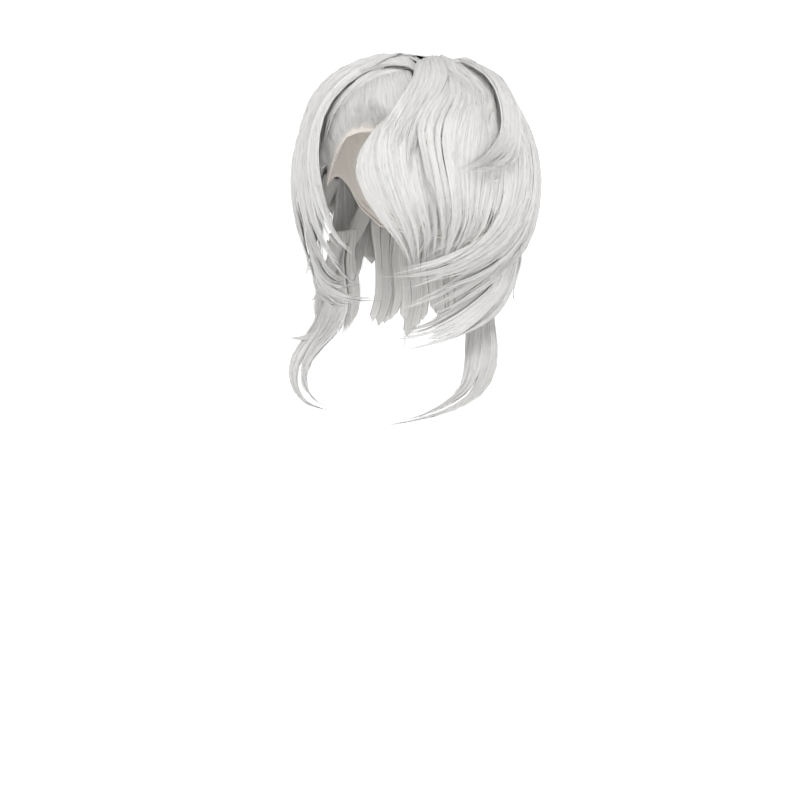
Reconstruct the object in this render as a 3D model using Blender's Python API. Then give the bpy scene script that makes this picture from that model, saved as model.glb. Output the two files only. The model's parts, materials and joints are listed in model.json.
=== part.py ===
"""Long layered wig: a hollow net cap, a lace front, and hair in locks, each layer lying on the one below.

Metres, +Z up. The face looks along -Y and the wearer's left is +X. The origin is the inside top of the cap,
where the top of the head touches it.

A place on the hair is given on a plain head form: turn in degrees from the face toward the wearer's left,
down in crown heights below the origin, and lift off the form as a share of LIFT.
"""

import math

import bpy
import numpy as np
from mathutils.bvhtree import BVHTree

# Driving dimensions
HEAD_WIDTH = 0.152
HEAD_DEPTH = 0.192
CROWN_HEIGHT = 0.098  # from the origin down to the widest level of the head
NECK_SHARE = 0.78  # size of the form at the neck, as a share of the head
NECK_DOWN = 2.2  # crown heights down to the neck
CAP_WALL = 0.0016
LACE_WALL = 0.0010
LIFT = 0.050  # how far full hair stands off the head form
LOCK_THICKNESS = 0.0050
CLEARANCE = 0.0003  # gap between neighbouring pieces

# Mesh and layering
ROWS = 13  # rows of faces along a lock
COLUMNS = 2  # columns of faces across a lock
CAP_TURNS = 32
CAP_ROWS = 7
PUSH = 0.0005  # step by which a layer is lifted off the one below
PUSH_SLOPE = 0.55  # steepest edge of a lifted place
MOST_PUSHES = 160

# Edge of the cap, as (turn, down): hairline, temple, ear, nape
CAP_EDGE = (
    (0, 0.62), (14, 0.63), (26, 0.67), (34, 0.75), (40, 0.90), (48, 1.02), (60, 1.08), (72, 1.05),
    (84, 1.00), (97, 1.08), (109, 1.36), (126, 1.56), (150, 1.64), (180, 1.66),
)
LACE_TURN = 46
LACE_OVER_CAP = 0.13
LACE_PAST_CAP = 0.045

# Flow lines of each layer of hair, root first, as (turn, down, lift). The locks lie between them.
RIGHT_ROOTS = (
    ((40, 0.44, 0.06), (34, 0.34, 0.14), (20, 0.20, 0.20), (-60, 0.06, 0.24), (-110, 0.16, 0.26)),
    ((16, 0.56, 0.06), (8, 0.42, 0.15), (-8, 0.28, 0.21), (-60, 0.17, 0.25), (-106, 0.24, 0.27)),
    ((-6, 0.60, 0.06), (-14, 0.46, 0.16), (-32, 0.34, 0.22), (-68, 0.29, 0.26), (-102, 0.36, 0.28)),
    ((-22, 0.66, 0.06), (-32, 0.54, 0.16), (-50, 0.46, 0.22), (-76, 0.45, 0.26), (-98, 0.51, 0.28)),
    ((-34, 0.75, 0.06), (-44, 0.68, 0.16), (-60, 0.63, 0.22), (-80, 0.63, 0.26), (-96, 0.69, 0.28)),
    ((-39, 0.92, 0.06), (-50, 0.87, 0.16), (-66, 0.83, 0.22), (-82, 0.83, 0.26), (-96, 0.88, 0.28)),
)
RIGHT_CURTAIN = (
    ((74, 0.08, 0.26), (-10, 0.04, 0.40), (-52, 0.12, 0.45), (-64, 0.24, 0.51), (-64, 0.42, 0.68),
     (-60, 0.58, 0.75), (-55, 0.75, 0.69), (-49, 0.95, 0.61), (-45, 1.25, 0.57), (-41, 1.54, 0.51),
     (-35, 1.72, 0.47), (-26, 1.88, 0.46), (-12, 1.94, 0.48)),
    ((56, 0.13, 0.26), (2, 0.10, 0.37), (-38, 0.17, 0.42), (-58, 0.27, 0.47), (-56, 0.42, 0.54),
     (-51, 0.60, 0.57), (-46, 0.78, 0.53), (-41, 0.95, 0.48), (-36, 1.23, 0.45), (-30, 1.51, 0.45),
     (-22, 1.68, 0.46), (-12, 1.78, 0.48)),
    ((46, 0.20, 0.26), (14, 0.17, 0.35), (-20, 0.21, 0.37), (-47, 0.31, 0.39), (-50, 0.44, 0.41),
     (-46, 0.59, 0.44), (-38, 0.76, 0.42), (-31, 0.92, 0.38), (-24, 1.16, 0.36), (-15, 1.46, 0.40),
     (-5, 1.58, 0.45)),
)
RIGHT_BACK = (
    ((-24, 0.07, 0.12), (-52, 0.24, 0.32), (-58, 0.45, 0.44), (-62, 0.75, 0.48), (-60, 0.95, 0.46),
     (-57, 1.17, 0.48), (-54, 1.40, 0.46)),
    ((-44, 0.04, 0.12), (-70, 0.22, 0.40), (-76, 0.45, 0.64), (-78, 0.75, 0.78), (-75, 0.95, 0.79),
     (-72, 1.17, 0.76), (-68, 1.48, 0.72), (-62, 1.70, 0.64), (-58, 1.88, 0.58), (-64, 2.02, 0.70)),
    ((-80, 0.03, 0.12), (-90, 0.30, 0.48), (-92, 0.60, 0.70), (-92, 0.90, 0.80), (-89, 1.20, 0.82),
     (-84, 1.50, 0.78), (-79, 1.78, 0.70), (-80, 2.02, 0.68)),
    ((-112, 0.03, 0.14), (-109, 0.34, 0.50), (-109, 0.62, 0.72), (-108, 0.90, 0.82), (-106, 1.20, 0.84),
     (-103, 1.52, 0.80), (-99, 1.82, 0.74), (-97, 2.10, 0.70)),
)
RIGHT_LOW = (
    ((-84, 1.00, 0.30), (-76, 1.28, 0.48), (-64, 1.50, 0.50), (-54, 1.70, 0.44), (-42, 1.86, 0.40),
     (-24, 1.93, 0.42), (-8, 1.85, 0.50)),
    ((-93, 1.05, 0.30), (-84, 1.34, 0.50), (-70, 1.62, 0.54), (-58, 1.82, 0.48), (-46, 1.97, 0.42),
     (-26, 2.06, 0.42), (-4, 2.10, 0.50), (12, 2.06, 0.62)),
    ((-102, 1.10, 0.30), (-93, 1.42, 0.52), (-80, 1.74, 0.60), (-69, 1.97, 0.54), (-58, 2.12, 0.46),
     (-40, 2.20, 0.44), (-16, 2.20, 0.50)),
)
TAIL_RIGHT = (
    ((-126, 1.30, 0.05), (-117, 1.54, 0.14), (-103, 1.87, 0.34), (-89, 2.12, 0.42), (-81, 2.33, 0.50), (-76, 2.49, 0.54),
     (-69, 2.63, 0.68), (-61, 2.77, 0.90), (-53, 2.94, 1.02), (-42, 3.11, 1.00), (-27, 3.21, 0.88),
     (-8, 3.19, 0.77)),
    ((-114, 1.24, 0.05), (-102, 1.52, 0.08), (-85, 1.88, 0.08), (-74, 2.10, -0.04), (-69, 2.28, -0.12), (-66, 2.45, -0.08),
     (-62, 2.61, 0.10), (-56, 2.73, 0.36), (-49, 2.86, 0.54), (-41, 2.98, 0.62), (-28, 3.09, 0.66),
     (-8, 3.16, 0.73)),
)
FRINGE = (
    ((28, 0.24, 0.10), (15, 0.44, 0.26), (8, 0.54, 0.26), (2, 0.64, 0.28), (-2, 0.74, 0.34),
     (-1, 0.88, 0.42), (4, 1.01, 0.45), (11, 1.22, 0.47), (19, 1.42, 0.49), (26, 1.58, 0.54),
     (29, 1.72, 0.57)),
    ((46, 0.13, 0.12), (26, 0.32, 0.28), (20, 0.50, 0.32), (16, 0.66, 0.34), (17, 0.82, 0.43),
     (21, 0.96, 0.50), (26, 1.16, 0.53), (31, 1.42, 0.54), (33, 1.66, 0.57)),
    ((76, 0.09, 0.14), (58, 0.32, 0.32), (52, 0.46, 0.42), (42, 0.60, 0.48), (38, 0.72, 0.52),
     (38, 0.88, 0.56), (41, 1.08, 0.57), (44, 1.30, 0.56), (44, 1.56, 0.55)),
)
FRINGE_SIDE = (
    ((84, 0.07, 0.20), (58, 0.22, 0.38), (53, 0.36, 0.46), (46, 0.48, 0.54), (36, 0.60, 0.58), (31, 0.70, 0.66),
     (33, 0.85, 0.70), (37, 1.06, 0.70), (41, 1.30, 0.67), (43, 1.54, 0.64)),
    ((96, 0.11, 0.20), (67, 0.38, 0.50), (58, 0.53, 0.62), (47, 0.66, 0.64), (44, 0.78, 0.68),
     (47, 0.95, 0.70), (50, 1.20, 0.70), (49, 1.40, 0.68), (47, 1.60, 0.64)),
    ((108, 0.14, 0.20), (82, 0.42, 0.54), (71, 0.57, 0.70), (64, 0.71, 0.70), (59, 0.84, 0.68),
     (57, 1.00, 0.68), (57, 1.23, 0.69), (55, 1.42, 0.68), (51, 1.60, 0.64)),
    ((118, 0.18, 0.20), (98, 0.46, 0.52), (88, 0.60, 0.68), (81, 0.75, 0.69), (76, 0.90, 0.68),
     (73, 1.08, 0.70), (70, 1.28, 0.71), (63, 1.46, 0.69), (55, 1.58, 0.65)),
)
CROWN_CURL = (
    ((130, 0.20, 0.30), (106, 0.24, 0.44), (88, 0.34, 0.56), (78, 0.50, 0.74), (74, 0.65, 0.86),
     (69, 0.75, 0.87), (59, 0.82, 0.83), (44, 0.88, 0.80)),
    ((150, 0.26, 0.36), (130, 0.30, 0.54), (107, 0.41, 0.72), (94, 0.56, 0.90), (88, 0.71, 0.98),
     (82, 0.84, 0.95), (71, 0.92, 0.87), (54, 0.96, 0.80)),
)
LEFT_UPPER = (
    ((98, 0.09, 0.14), (90, 0.35, 0.40), (79, 0.60, 0.56), (75, 0.86, 0.62), (74, 1.12, 0.64),
     (66, 1.38, 0.66), (54, 1.58, 0.62), (41, 1.74, 0.58), (27, 1.79, 0.56)),
    ((120, 0.07, 0.14), (101, 0.38, 0.50), (91, 0.64, 0.68), (88, 0.87, 0.75), (85, 1.08, 0.76),
     (79, 1.33, 0.75), (66, 1.54, 0.71), (50, 1.70, 0.66), (34, 1.79, 0.60), (18, 1.82, 0.56)),
    ((142, 0.05, 0.14), (117, 0.39, 0.60), (107, 0.68, 0.78), (104, 0.90, 0.86), (103, 1.12, 0.87),
     (99, 1.42, 0.84), (86, 1.64, 0.75), (68, 1.79, 0.67), (51, 1.88, 0.61), (37, 1.93, 0.58)),
    ((168, 0.04, 0.14), (136, 0.36, 0.60), (125, 0.56, 0.76), (120, 0.78, 0.90), (118, 0.98, 0.97),
     (117, 1.28, 1.00), (112, 1.56, 0.93), (98, 1.77, 0.82), (80, 1.90, 0.71)),
)
LEFT_MIDDLE = (
    ((84, 0.60, 0.10), (87, 0.90, 0.40), (88, 1.20, 0.54), (84, 1.46, 0.58), (70, 1.69, 0.57),
     (52, 1.88, 0.56), (38, 2.00, 0.59), (24, 2.10, 0.66)),
    ((108, 0.60, 0.10), (112, 0.90, 0.50), (113, 1.20, 0.74), (108, 1.52, 0.80), (94, 1.79, 0.73),
     (72, 1.99, 0.67), (52, 2.15, 0.63), (34, 2.23, 0.62)),
)
LEFT_LOWER = (
    ((92, 1.00, 0.10), (95, 1.36, 0.44), (92, 1.68, 0.54), (77, 1.93, 0.52), (57, 2.12, 0.49),
     (42, 2.26, 0.50), (25, 2.35, 0.58)),
    ((118, 1.00, 0.10), (119, 1.42, 0.62), (114, 1.72, 0.80), (108, 1.98, 0.83), (95, 2.20, 0.75),
     (72, 2.37, 0.65), (50, 2.47, 0.62), (26, 2.46, 0.68)),
)
TAIL_LEFT = (
    ((136, 1.30, 0.05), (130, 1.55, 0.16), (119, 1.92, 0.38), (105, 2.32, 0.56), (96, 2.61, 0.76), (82, 2.81, 0.94),
     (66, 2.97, 1.12), (50, 3.07, 1.22), (36, 3.14, 1.24), (21, 3.21, 1.20)),
    ((116, 1.24, 0.05), (112, 1.54, 0.10), (102, 1.95, 0.20), (91, 2.33, 0.18), (82, 2.55, 0.30), (72, 2.74, 0.50),
     (59, 2.90, 0.78), (45, 3.02, 0.98), (33, 3.11, 1.12), (21, 3.18, 1.18)),
)
BACK_TURNS = (127, 152, 180, 207, 232)
BACK_CROWN = ((0.03, 0.12), (0.38, 0.58), (0.75, 0.84), (1.10, 0.94), (1.45, 0.92), (1.75, 0.84), (1.98, 0.80))
BACK_MIDDLE = ((0.70, 0.10), (1.10, 0.54), (1.50, 0.70), (1.90, 0.68), (2.15, 0.62), (2.38, 0.62))
BACK_UNDER = ((1.10, 0.08), (1.50, 0.26), (1.90, 0.32), (2.30, 0.36), (2.70, 0.46), (2.98, 0.60))
BACK_SWAY = 3.0  # degrees of turn that the back hair waves to each side
BACK_TUCK = 0.86  # lift of its two outer flow lines, as a share of the others'


def back_flows(stations, turns):
    flows = []
    for k, turn in enumerate(turns):
        sway = [BACK_SWAY * math.sin(2.2 * i + 1.3 * k) for i in range(len(stations))]
        tuck = BACK_TUCK if turn in (turns[0], turns[-1]) else 1
        flows.append(tuple((turn + s, down, lift * tuck) for s, (down, lift) in zip(sway, stations)))
    return tuple(flows)


# Each layer, innermost first: flow lines, its thickness as a share of LOCK_THICKNESS, the shares across it where
# one lock ends and the next begins, and a row for each lock: (split, tip, reach), the share of the length at
# which it parts from its neighbours, the share across at which its point lies, and the share of length it reaches.
LAYERS = {
    "right_roots": (RIGHT_ROOTS, 0.5, (0, 0.22, 0.48, 0.75, 1),
                    ((0.85, 0.12, 1.0), (0.85, 0.36, 0.96), (0.85, 0.62, 1.0), (0.85, 0.88, 0.94))),
    "back_under": (back_flows(BACK_UNDER, BACK_TURNS), 0.8, (0, 0.2, 0.4, 0.6, 0.8, 1),
                   ((0.7, 0.08, 0.92), (0.65, 0.30, 1.0), (0.7, 0.51, 0.94), (0.65, 0.70, 1.0), (0.7, 0.92, 0.92))),
    "tail_right": (TAIL_RIGHT, 1.0, (0, 0.5, 1), ((0.5, 0.30, 1.0), (0.5, 0.72, 0.94))),
    "tail_left": (TAIL_LEFT, 1.0, (0, 0.5, 1), ((0.55, 0.30, 1.0), (0.55, 0.72, 0.92))),
    "back_middle": (back_flows(BACK_MIDDLE, (118, 140, 163, 186, 210, 233, 254)), 0.9,
                    (0, 0.17, 0.33, 0.5, 0.67, 0.83, 1),
                    ((0.65, 0.07, 0.95), (0.7, 0.27, 1.0), (0.65, 0.42, 0.93), (0.7, 0.60, 1.0), (0.65, 0.73, 0.95),
                     (0.7, 0.93, 1.0))),
    "left_lower": (LEFT_LOWER, 0.9, (0, 0.34, 0.68, 1),
                   ((0.62, 0.12, 1.0), (0.6, 0.46, 0.95), (0.6, 0.88, 0.90))),
    "right_low": (RIGHT_LOW, 0.8, (0, 0.3, 0.65, 1),
                  ((0.65, 0.10, 1.0), (0.62, 0.47, 1.0), (0.62, 0.88, 0.95))),
    "left_middle": (LEFT_MIDDLE, 0.9, (0, 0.34, 0.68, 1),
                    ((0.65, 0.12, 1.0), (0.6, 0.48, 0.95), (0.6, 0.86, 0.92))),
    "right_back": (RIGHT_BACK, 0.9, (0, 0.2, 0.4, 0.6, 0.8, 1),
                   ((0.72, 0.10, 0.96), (0.72, 0.28, 1.0), (0.7, 0.52, 0.95), (0.75, 0.72, 1.0), (0.7, 0.92, 0.95))),
    "back_crown": (back_flows(BACK_CROWN, (122, 144, 170, 197, 224, 252)), 1.0, (0, 0.2, 0.4, 0.6, 0.8, 1),
                   ((0.7, 0.06, 0.94), (0.65, 0.33, 1.0), (0.7, 0.48, 0.93), (0.65, 0.72, 1.0), (0.7, 0.95, 0.95))),
    "left_upper": (LEFT_UPPER, 1.0, (0, 0.2, 0.4, 0.6, 0.8, 1),
                   ((0.7, 0.07, 0.97), (0.72, 0.31, 1.0), (0.72, 0.51, 0.95), (0.72, 0.72, 1.0), (0.72, 0.94, 0.96))),
    "fringe": (FRINGE, 0.8, (0, 0.2, 0.4, 0.6, 0.8, 1),
               ((0.78, 0.07, 1.0), (0.8, 0.32, 0.97), (0.78, 0.50, 1.0), (0.8, 0.71, 0.96), (0.78, 0.92, 1.0))),
    "fringe_side": (FRINGE_SIDE, 0.9, (0, 0.25, 0.5, 0.75, 1),
                    ((0.8, 0.10, 0.97), (0.82, 0.38, 1.0), (0.8, 0.62, 0.96), (0.82, 0.90, 1.0))),
    "crown_curl": (CROWN_CURL, 1.0, (0, 0.5, 1), ((0.62, 0.20, 1.0), (0.62, 0.80, 0.97))),
    "right_curtain": (RIGHT_CURTAIN, 1.0, (0, 0.3, 0.65, 1),
                      ((0.72, 0.06, 1.0), (0.75, 0.52, 0.97), (0.7, 0.96, 1.0))),
}

COLOURS = {"hair": (0.78, 0.77, 0.75, 1), "net": (0.45, 0.34, 0.25, 1)}


def clear_scene():
    for obj in list(bpy.data.objects):
        bpy.data.objects.remove(obj, do_unlink=True)


def material(name, roughness):
    made = bpy.data.materials.new(name)
    made.use_nodes = True
    shader = made.node_tree.nodes["Principled BSDF"]
    shader.inputs["Base Color"].default_value = COLOURS["net" if name in ("wig_cap", "lace_front") else "hair"]
    shader.inputs["Roughness"].default_value = roughness
    return made


def smooth(share):
    share = np.clip(share, 0, 1)
    return share * share * (3 - 2 * share)


def outward(points):
    """Unit directions that lead straight away from the head form."""
    points = np.asarray(points, float)
    height = np.maximum(points[..., 2] + CROWN_HEIGHT, 0)
    found = np.stack([
        points[..., 0] / HEAD_WIDTH ** 2,
        points[..., 1] / HEAD_DEPTH ** 2,
        height / (2 * CROWN_HEIGHT) ** 2,
    ], axis=-1)
    return found / np.maximum(np.linalg.norm(found, axis=-1, keepdims=True), 1e-9)


def on_head(turn, down, lift):
    """The point at this turn and down, lift metres off the head form."""
    angle = np.radians(turn)
    down = np.asarray(down, float)
    above = np.radians(90 * np.minimum(down, 1))
    neck = 1 - (1 - NECK_SHARE) * smooth((down - 1) / (NECK_DOWN - 1))
    size = np.where(down <= 1, np.sin(above), neck)
    height = np.where(down <= 1, -CROWN_HEIGHT * (1 - np.cos(above)), -CROWN_HEIGHT * down)
    base = np.stack([
        HEAD_WIDTH / 2 * size * np.sin(angle),
        -HEAD_DEPTH / 2 * size * np.cos(angle),
        height,
    ], axis=-1)
    return base + outward(base) * np.asarray(lift, float)[..., None]


def spline(points, at, where):
    """A smooth curve through points, which it passes at the values at, read at the values where."""
    slopes = np.gradient(points, at, axis=0)
    k = np.clip(np.searchsorted(at, where, side="right") - 1, 0, len(at) - 2)
    step = (at[k + 1] - at[k])[:, None]
    t = (where - at[k])[:, None] / step
    start = (1 + 2 * t) * (1 - t) ** 2 * points[k] + t * (1 - t) ** 2 * step * slopes[k]
    return start + t * t * (3 - 2 * t) * points[k + 1] + t * t * (t - 1) * step * slopes[k + 1]


def flow_line(stations):
    """ROWS + 1 evenly spaced points along the curve through the stations."""
    table = np.array(stations, float)
    points = on_head(table[:, 0], table[:, 1], table[:, 2] * LIFT)
    at = np.concatenate([[0], np.cumsum(np.linalg.norm(np.diff(points, axis=0), axis=1))])
    return spline(points, at, np.linspace(0, at[-1], ROWS + 1))


def facing(flows):
    """Normals of the sheet through the flow lines, turned away from the head at its start."""
    along = np.gradient(flows, axis=1)
    across = np.gradient(flows, axis=0)
    width = np.linalg.norm(across, axis=-1, keepdims=True)
    across = across / np.maximum(width, 1e-9)
    for row in range(1, flows.shape[1]):
        narrow = width[:, row] < LOCK_THICKNESS
        across[:, row] = np.where(narrow, across[:, row - 1], across[:, row])
    normals = np.cross(along, across)
    normals /= np.linalg.norm(normals, axis=-1, keepdims=True)
    middle = flows.shape[1] // 3
    if (normals[:, middle] * outward(flows[:, middle])).sum() < 0:
        normals = -normals
    return normals


def lock_mesh(flow_table, thickness, borders, locks):
    """The sheet's points, their thickness directions, and the faces of its upper side, as point numbers."""
    flows = np.array([flow_line(stations) for stations in flow_table])
    normals = facing(flows)
    at = np.linspace(0, 1, len(flows))
    points, rises, faces, numbers = [], [], [], {}
    splits = [int(round(split * ROWS)) for split, tip, reach in locks]

    def point(lock, column, row):
        left, right = borders[lock], borders[lock + 1]
        split, tip, reach = locks[lock]
        last = int(round(reach * ROWS))
        before = min(splits[lock - 1], splits[lock]) if lock else splits[lock]
        after = min(splits[lock], splits[lock + 1]) if lock + 1 < len(locks) else splits[lock]
        if column == 0 and lock and row <= before:
            return point(lock - 1, COLUMNS, row)
        key = (lock, "tip") if row == last else (lock, column, row)
        if key in numbers:
            return numbers[key]
        centre, half = (left + right) / 2, (right - left) / 2
        joined = min(before, after)
        share = max(0, (row - joined) / (last - joined))
        centre += (tip - centre) * smooth(share)
        half *= (1 - share ** 2.4) * (0.94 if row > joined else 1)
        side = 0 if row == last else 2 * column / COLUMNS - 1
        u = np.array([centre + half * side])
        if column == COLUMNS and row <= after:
            u = np.array([right])
        if column == 0 and row <= before:
            u = np.array([left])
        here = spline(flows[:, row], at, u)[0]
        rise = spline(normals[:, row], at, u)[0]
        root = 0.4 + 0.6 * smooth(row / ROWS / 0.15)
        end = 1 - 0.6 * smooth((share - 0.4) / 0.6)
        height = LOCK_THICKNESS * thickness * root * end * (0.4 + 0.6 * (1 - side * side))
        points.append(here)
        rises.append(rise / np.linalg.norm(rise) * height)
        numbers[key] = len(points) - 1
        return numbers[key]

    for lock, (split, tip, reach) in enumerate(locks):
        for row in range(int(round(reach * ROWS))):
            for column in range(COLUMNS):
                ring = [point(lock, column, row), point(lock, column + 1, row),
                        point(lock, column + 1, row + 1), point(lock, column, row + 1)]
                ring = [n for k, n in enumerate(ring) if n != ring[k - 1]]
                faces.append(ring)
    return np.array(points), np.array(rises), faces


def closed_faces(faces, count):
    """Upper faces, the same faces below, and the rim between them. The lower points are numbered after the upper."""
    edges = {}
    for ring in faces:
        for a, b in zip(ring, ring[1:] + ring[:1]):
            edges[(a, b)] = True
    rim = [(b, a, a + count, b + count) for a, b in edges if (b, a) not in edges]
    return [tuple(ring) for ring in faces] + [tuple(n + count for n in ring[::-1]) for ring in faces] + rim


def split_faces(faces):
    """Triangles in place of quads."""
    triangles = []
    for ring in faces:
        triangles += [(ring[0], ring[k], ring[k + 1]) for k in range(1, len(ring) - 1)]
    return triangles


def settle(points, rises, triangles, below):
    """The points moved straight away from the head until the sheet lies clear of all that is below it."""
    ends = np.unique(np.sort(np.array([(t[a] % len(points), t[(a + 1) % 3] % len(points))
                                       for t in triangles for a in range(3)]), axis=1), axis=0)
    ends = ends[ends[:, 0] != ends[:, 1]]
    ways = outward(points)
    lengths = np.linalg.norm(points[ends[:, 0]] - points[ends[:, 1]], axis=1)
    margin = rises / np.linalg.norm(rises, axis=1, keepdims=True) * CLEARANCE
    pushed = np.zeros(len(points))
    for _ in range(MOST_PUSHES):
        moved = points + ways * pushed[:, None]
        probe = np.concatenate([moved + rises + margin, moved - margin])
        hits = BVHTree.FromPolygons(probe.tolist(), triangles).overlap(below)
        if not hits:
            break
        touched = np.unique([n % len(points) for own, other in hits for n in triangles[own]])
        pushed[touched] += PUSH
        for _ in range(3):
            np.maximum.at(pushed, ends[:, 0], pushed[ends[:, 1]] - PUSH_SLOPE * lengths)
            np.maximum.at(pushed, ends[:, 1], pushed[ends[:, 0]] - PUSH_SLOPE * lengths)
    return points + ways * pushed[:, None]


def cap_edge(turn):
    """How far down the cap reaches at this turn."""
    table = np.array(CAP_EDGE)
    return np.interp(np.abs((np.asarray(turn) + 180) % 360 - 180), table[:, 0], table[:, 1])


def cap_mesh():
    turns = np.arange(CAP_TURNS) * 360 / CAP_TURNS
    edge = cap_edge(turns)
    points = [on_head(0, 0, CAP_WALL)]
    lower = [on_head(0, 0, 0)]
    faces = []
    for row in range(1, CAP_ROWS + 1):
        down = edge * row / CAP_ROWS
        points += list(on_head(turns, down, np.full(CAP_TURNS, CAP_WALL)))
        lower += list(on_head(turns, down, np.zeros(CAP_TURNS)))
        for k in range(CAP_TURNS):
            here, beside = 1 + (row - 1) * CAP_TURNS + k, 1 + (row - 1) * CAP_TURNS + (k + 1) % CAP_TURNS
            if row == 1:
                faces.append([0, here, beside])
            else:
                faces.append([here - CAP_TURNS, here, beside, beside - CAP_TURNS])
    return np.array(points), np.array(lower), faces


def lace_mesh():
    turns = np.linspace(-LACE_TURN, LACE_TURN, 19)
    rows = (-LACE_OVER_CAP, -0.06, 0, LACE_PAST_CAP)
    inner = CAP_WALL + CLEARANCE
    points, faces = [], []
    for row, past in enumerate(rows):
        points += list(on_head(turns, cap_edge(turns) + past, np.full(len(turns), inner)))
        if row:
            start = (row - 1) * len(turns)
            faces += [[start + k, start + k + len(turns), start + k + len(turns) + 1, start + k + 1]
                      for k in range(len(turns) - 1)]
    return np.array(points), outward(points) * LACE_WALL, faces


def add_piece(name, upper, lower, faces):
    """Makes one closed piece and returns its points and triangles."""
    points = np.concatenate([upper, lower])
    polygons = closed_faces(faces, len(upper))
    triangles = split_faces(polygons)
    corners = points[np.array(triangles)]
    volume = np.einsum("ij,ij->i", corners[:, 0], np.cross(corners[:, 1], corners[:, 2])).sum()
    if volume < 0:
        polygons = [ring[::-1] for ring in polygons]
        triangles = split_faces(polygons)
    mesh = bpy.data.meshes.new(name)
    mesh.from_pydata(points.tolist(), [], triangles)
    mesh.validate()
    mesh.update()
    obj = bpy.data.objects.new(name, mesh)
    mesh.materials.append(material(name, 0.6))
    bpy.context.scene.collection.objects.link(obj)
    return points, triangles


def main():
    clear_scene()
    all_points, all_triangles = [], []

    def keep(points, triangles):
        start = sum(len(p) for p in all_points)
        all_points.append(points)
        all_triangles.extend(tuple(n + start for n in t) for t in triangles)

    keep(*add_piece("wig_cap", *cap_mesh()))
    sheets = {"lace_front": lace_mesh()}
    sheets.update({name: lock_mesh(*layer) for name, layer in LAYERS.items()})
    for name, (points, rises, faces) in sheets.items():
        triangles = split_faces(closed_faces(faces, len(points)))
        below = BVHTree.FromPolygons(np.concatenate(all_points).tolist(), all_triangles)
        points = settle(points, rises, triangles, below)
        keep(*add_piece(name, points + rises, points, faces))


main()
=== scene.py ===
# %% [markdown]
# # A long layered wig, laid lock by lock
#
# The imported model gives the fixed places: a net cap, a lace front and fifteen layers of hair as plain solids.
# Each layer is laid again here in fine locks and strands, on the solid that it stands for. Metres, +Z up, the
# face toward -Y, the wearer's left toward +X. The origin is the inside top of the cap.

# %% Load the fixed frame
import json
import math

import bpy
import numpy as np
from mathutils import Matrix, Vector
from mathutils.bvhtree import BVHTree

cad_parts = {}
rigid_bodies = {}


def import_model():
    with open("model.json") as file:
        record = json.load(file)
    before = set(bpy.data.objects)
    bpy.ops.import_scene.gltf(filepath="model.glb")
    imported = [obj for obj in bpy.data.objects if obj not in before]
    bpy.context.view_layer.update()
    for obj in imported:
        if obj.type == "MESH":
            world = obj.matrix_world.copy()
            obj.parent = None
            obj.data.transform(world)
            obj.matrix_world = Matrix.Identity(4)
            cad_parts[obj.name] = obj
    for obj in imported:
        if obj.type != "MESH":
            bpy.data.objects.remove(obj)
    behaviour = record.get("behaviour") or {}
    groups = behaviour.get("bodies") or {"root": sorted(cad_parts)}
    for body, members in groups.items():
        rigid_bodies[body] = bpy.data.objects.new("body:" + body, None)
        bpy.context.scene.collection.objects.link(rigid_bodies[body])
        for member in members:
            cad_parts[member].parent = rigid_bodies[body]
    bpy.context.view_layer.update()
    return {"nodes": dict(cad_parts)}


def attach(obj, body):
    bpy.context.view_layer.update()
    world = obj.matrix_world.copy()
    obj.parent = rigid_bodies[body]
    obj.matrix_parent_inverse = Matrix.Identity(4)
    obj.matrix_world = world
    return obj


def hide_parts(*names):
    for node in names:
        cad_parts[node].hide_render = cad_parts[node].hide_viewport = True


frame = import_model()
print("CAD nodes:", len(frame["nodes"]))

# %% [markdown]
# The wig is seen from its front left, a little from above, with the view rolled a few degrees. A camera could
# be aimed by a constraint, but that leaves it level. So its three axes are worked out here and given as one
# matrix. A long lens from nearly two metres keeps the far tail almost as large as the near one.

# %% Camera
VIEW_AZIMUTH, VIEW_HEIGHT, VIEW_ROLL = 25, 12, 3
VIEW_DISTANCE = 1.9
VIEW_TARGET = Vector((0, 0, -0.317))
VIEW_WIDTH = 0.799  # metres that the picture spans at the target
SENSOR_WIDTH = 36
FAR_CLIP = 200
azimuth, height, roll = (math.radians(angle) for angle in (VIEW_AZIMUTH, VIEW_HEIGHT, VIEW_ROLL))
back = Vector((math.sin(azimuth) * math.cos(height), -math.cos(azimuth) * math.cos(height),
               math.sin(height)))
right = Vector((math.cos(azimuth), math.sin(azimuth), 0))
up = back.cross(right)
turned = Matrix((right * math.cos(roll) + up * math.sin(roll),
                 up * math.cos(roll) - right * math.sin(roll), back))
camera = bpy.data.objects.new("camera", bpy.data.cameras.new("camera"))
bpy.context.scene.collection.objects.link(camera)
camera.matrix_world = Matrix.Translation(VIEW_TARGET + back * VIEW_DISTANCE) @ turned.transposed().to_4x4()
camera.data.sensor_width = SENSOR_WIDTH
camera.data.lens = SENSOR_WIDTH * VIEW_DISTANCE / VIEW_WIDTH
camera.data.clip_end = FAR_CLIP
bpy.context.scene.camera = camera
print("lens: %.1f mm" % camera.data.lens)

# %% [markdown]
# The ground is one large white plane, a primitive that needs no more shaping. It gives off a little light, so
# it stays white under the wig.

# %% Floor
FLOOR_SIZE, FLOOR_DOWN = 120, 0.66
FLOOR_WHITE, FLOOR_ROUGHNESS = (0.93, 0.93, 0.93), 0.9
FLOOR_GLOW = {"Emission Color": (1, 1, 1, 1), "Emission Strength": 0.3}


def plain_material(name, colour, roughness, more=()):
    """A new material and its shader, with more values for the shader's own sockets."""
    made = bpy.data.materials.new(name)
    made.use_nodes = True
    shader = made.node_tree.nodes["Principled BSDF"]
    for socket, value in {"Base Color": (*colour, 1), "Roughness": roughness, **dict(more)}.items():
        shader.inputs[socket].default_value = value
    return made, shader


def deselect_all():
    for obj in list(bpy.context.selected_objects):
        obj.select_set(False)


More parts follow.
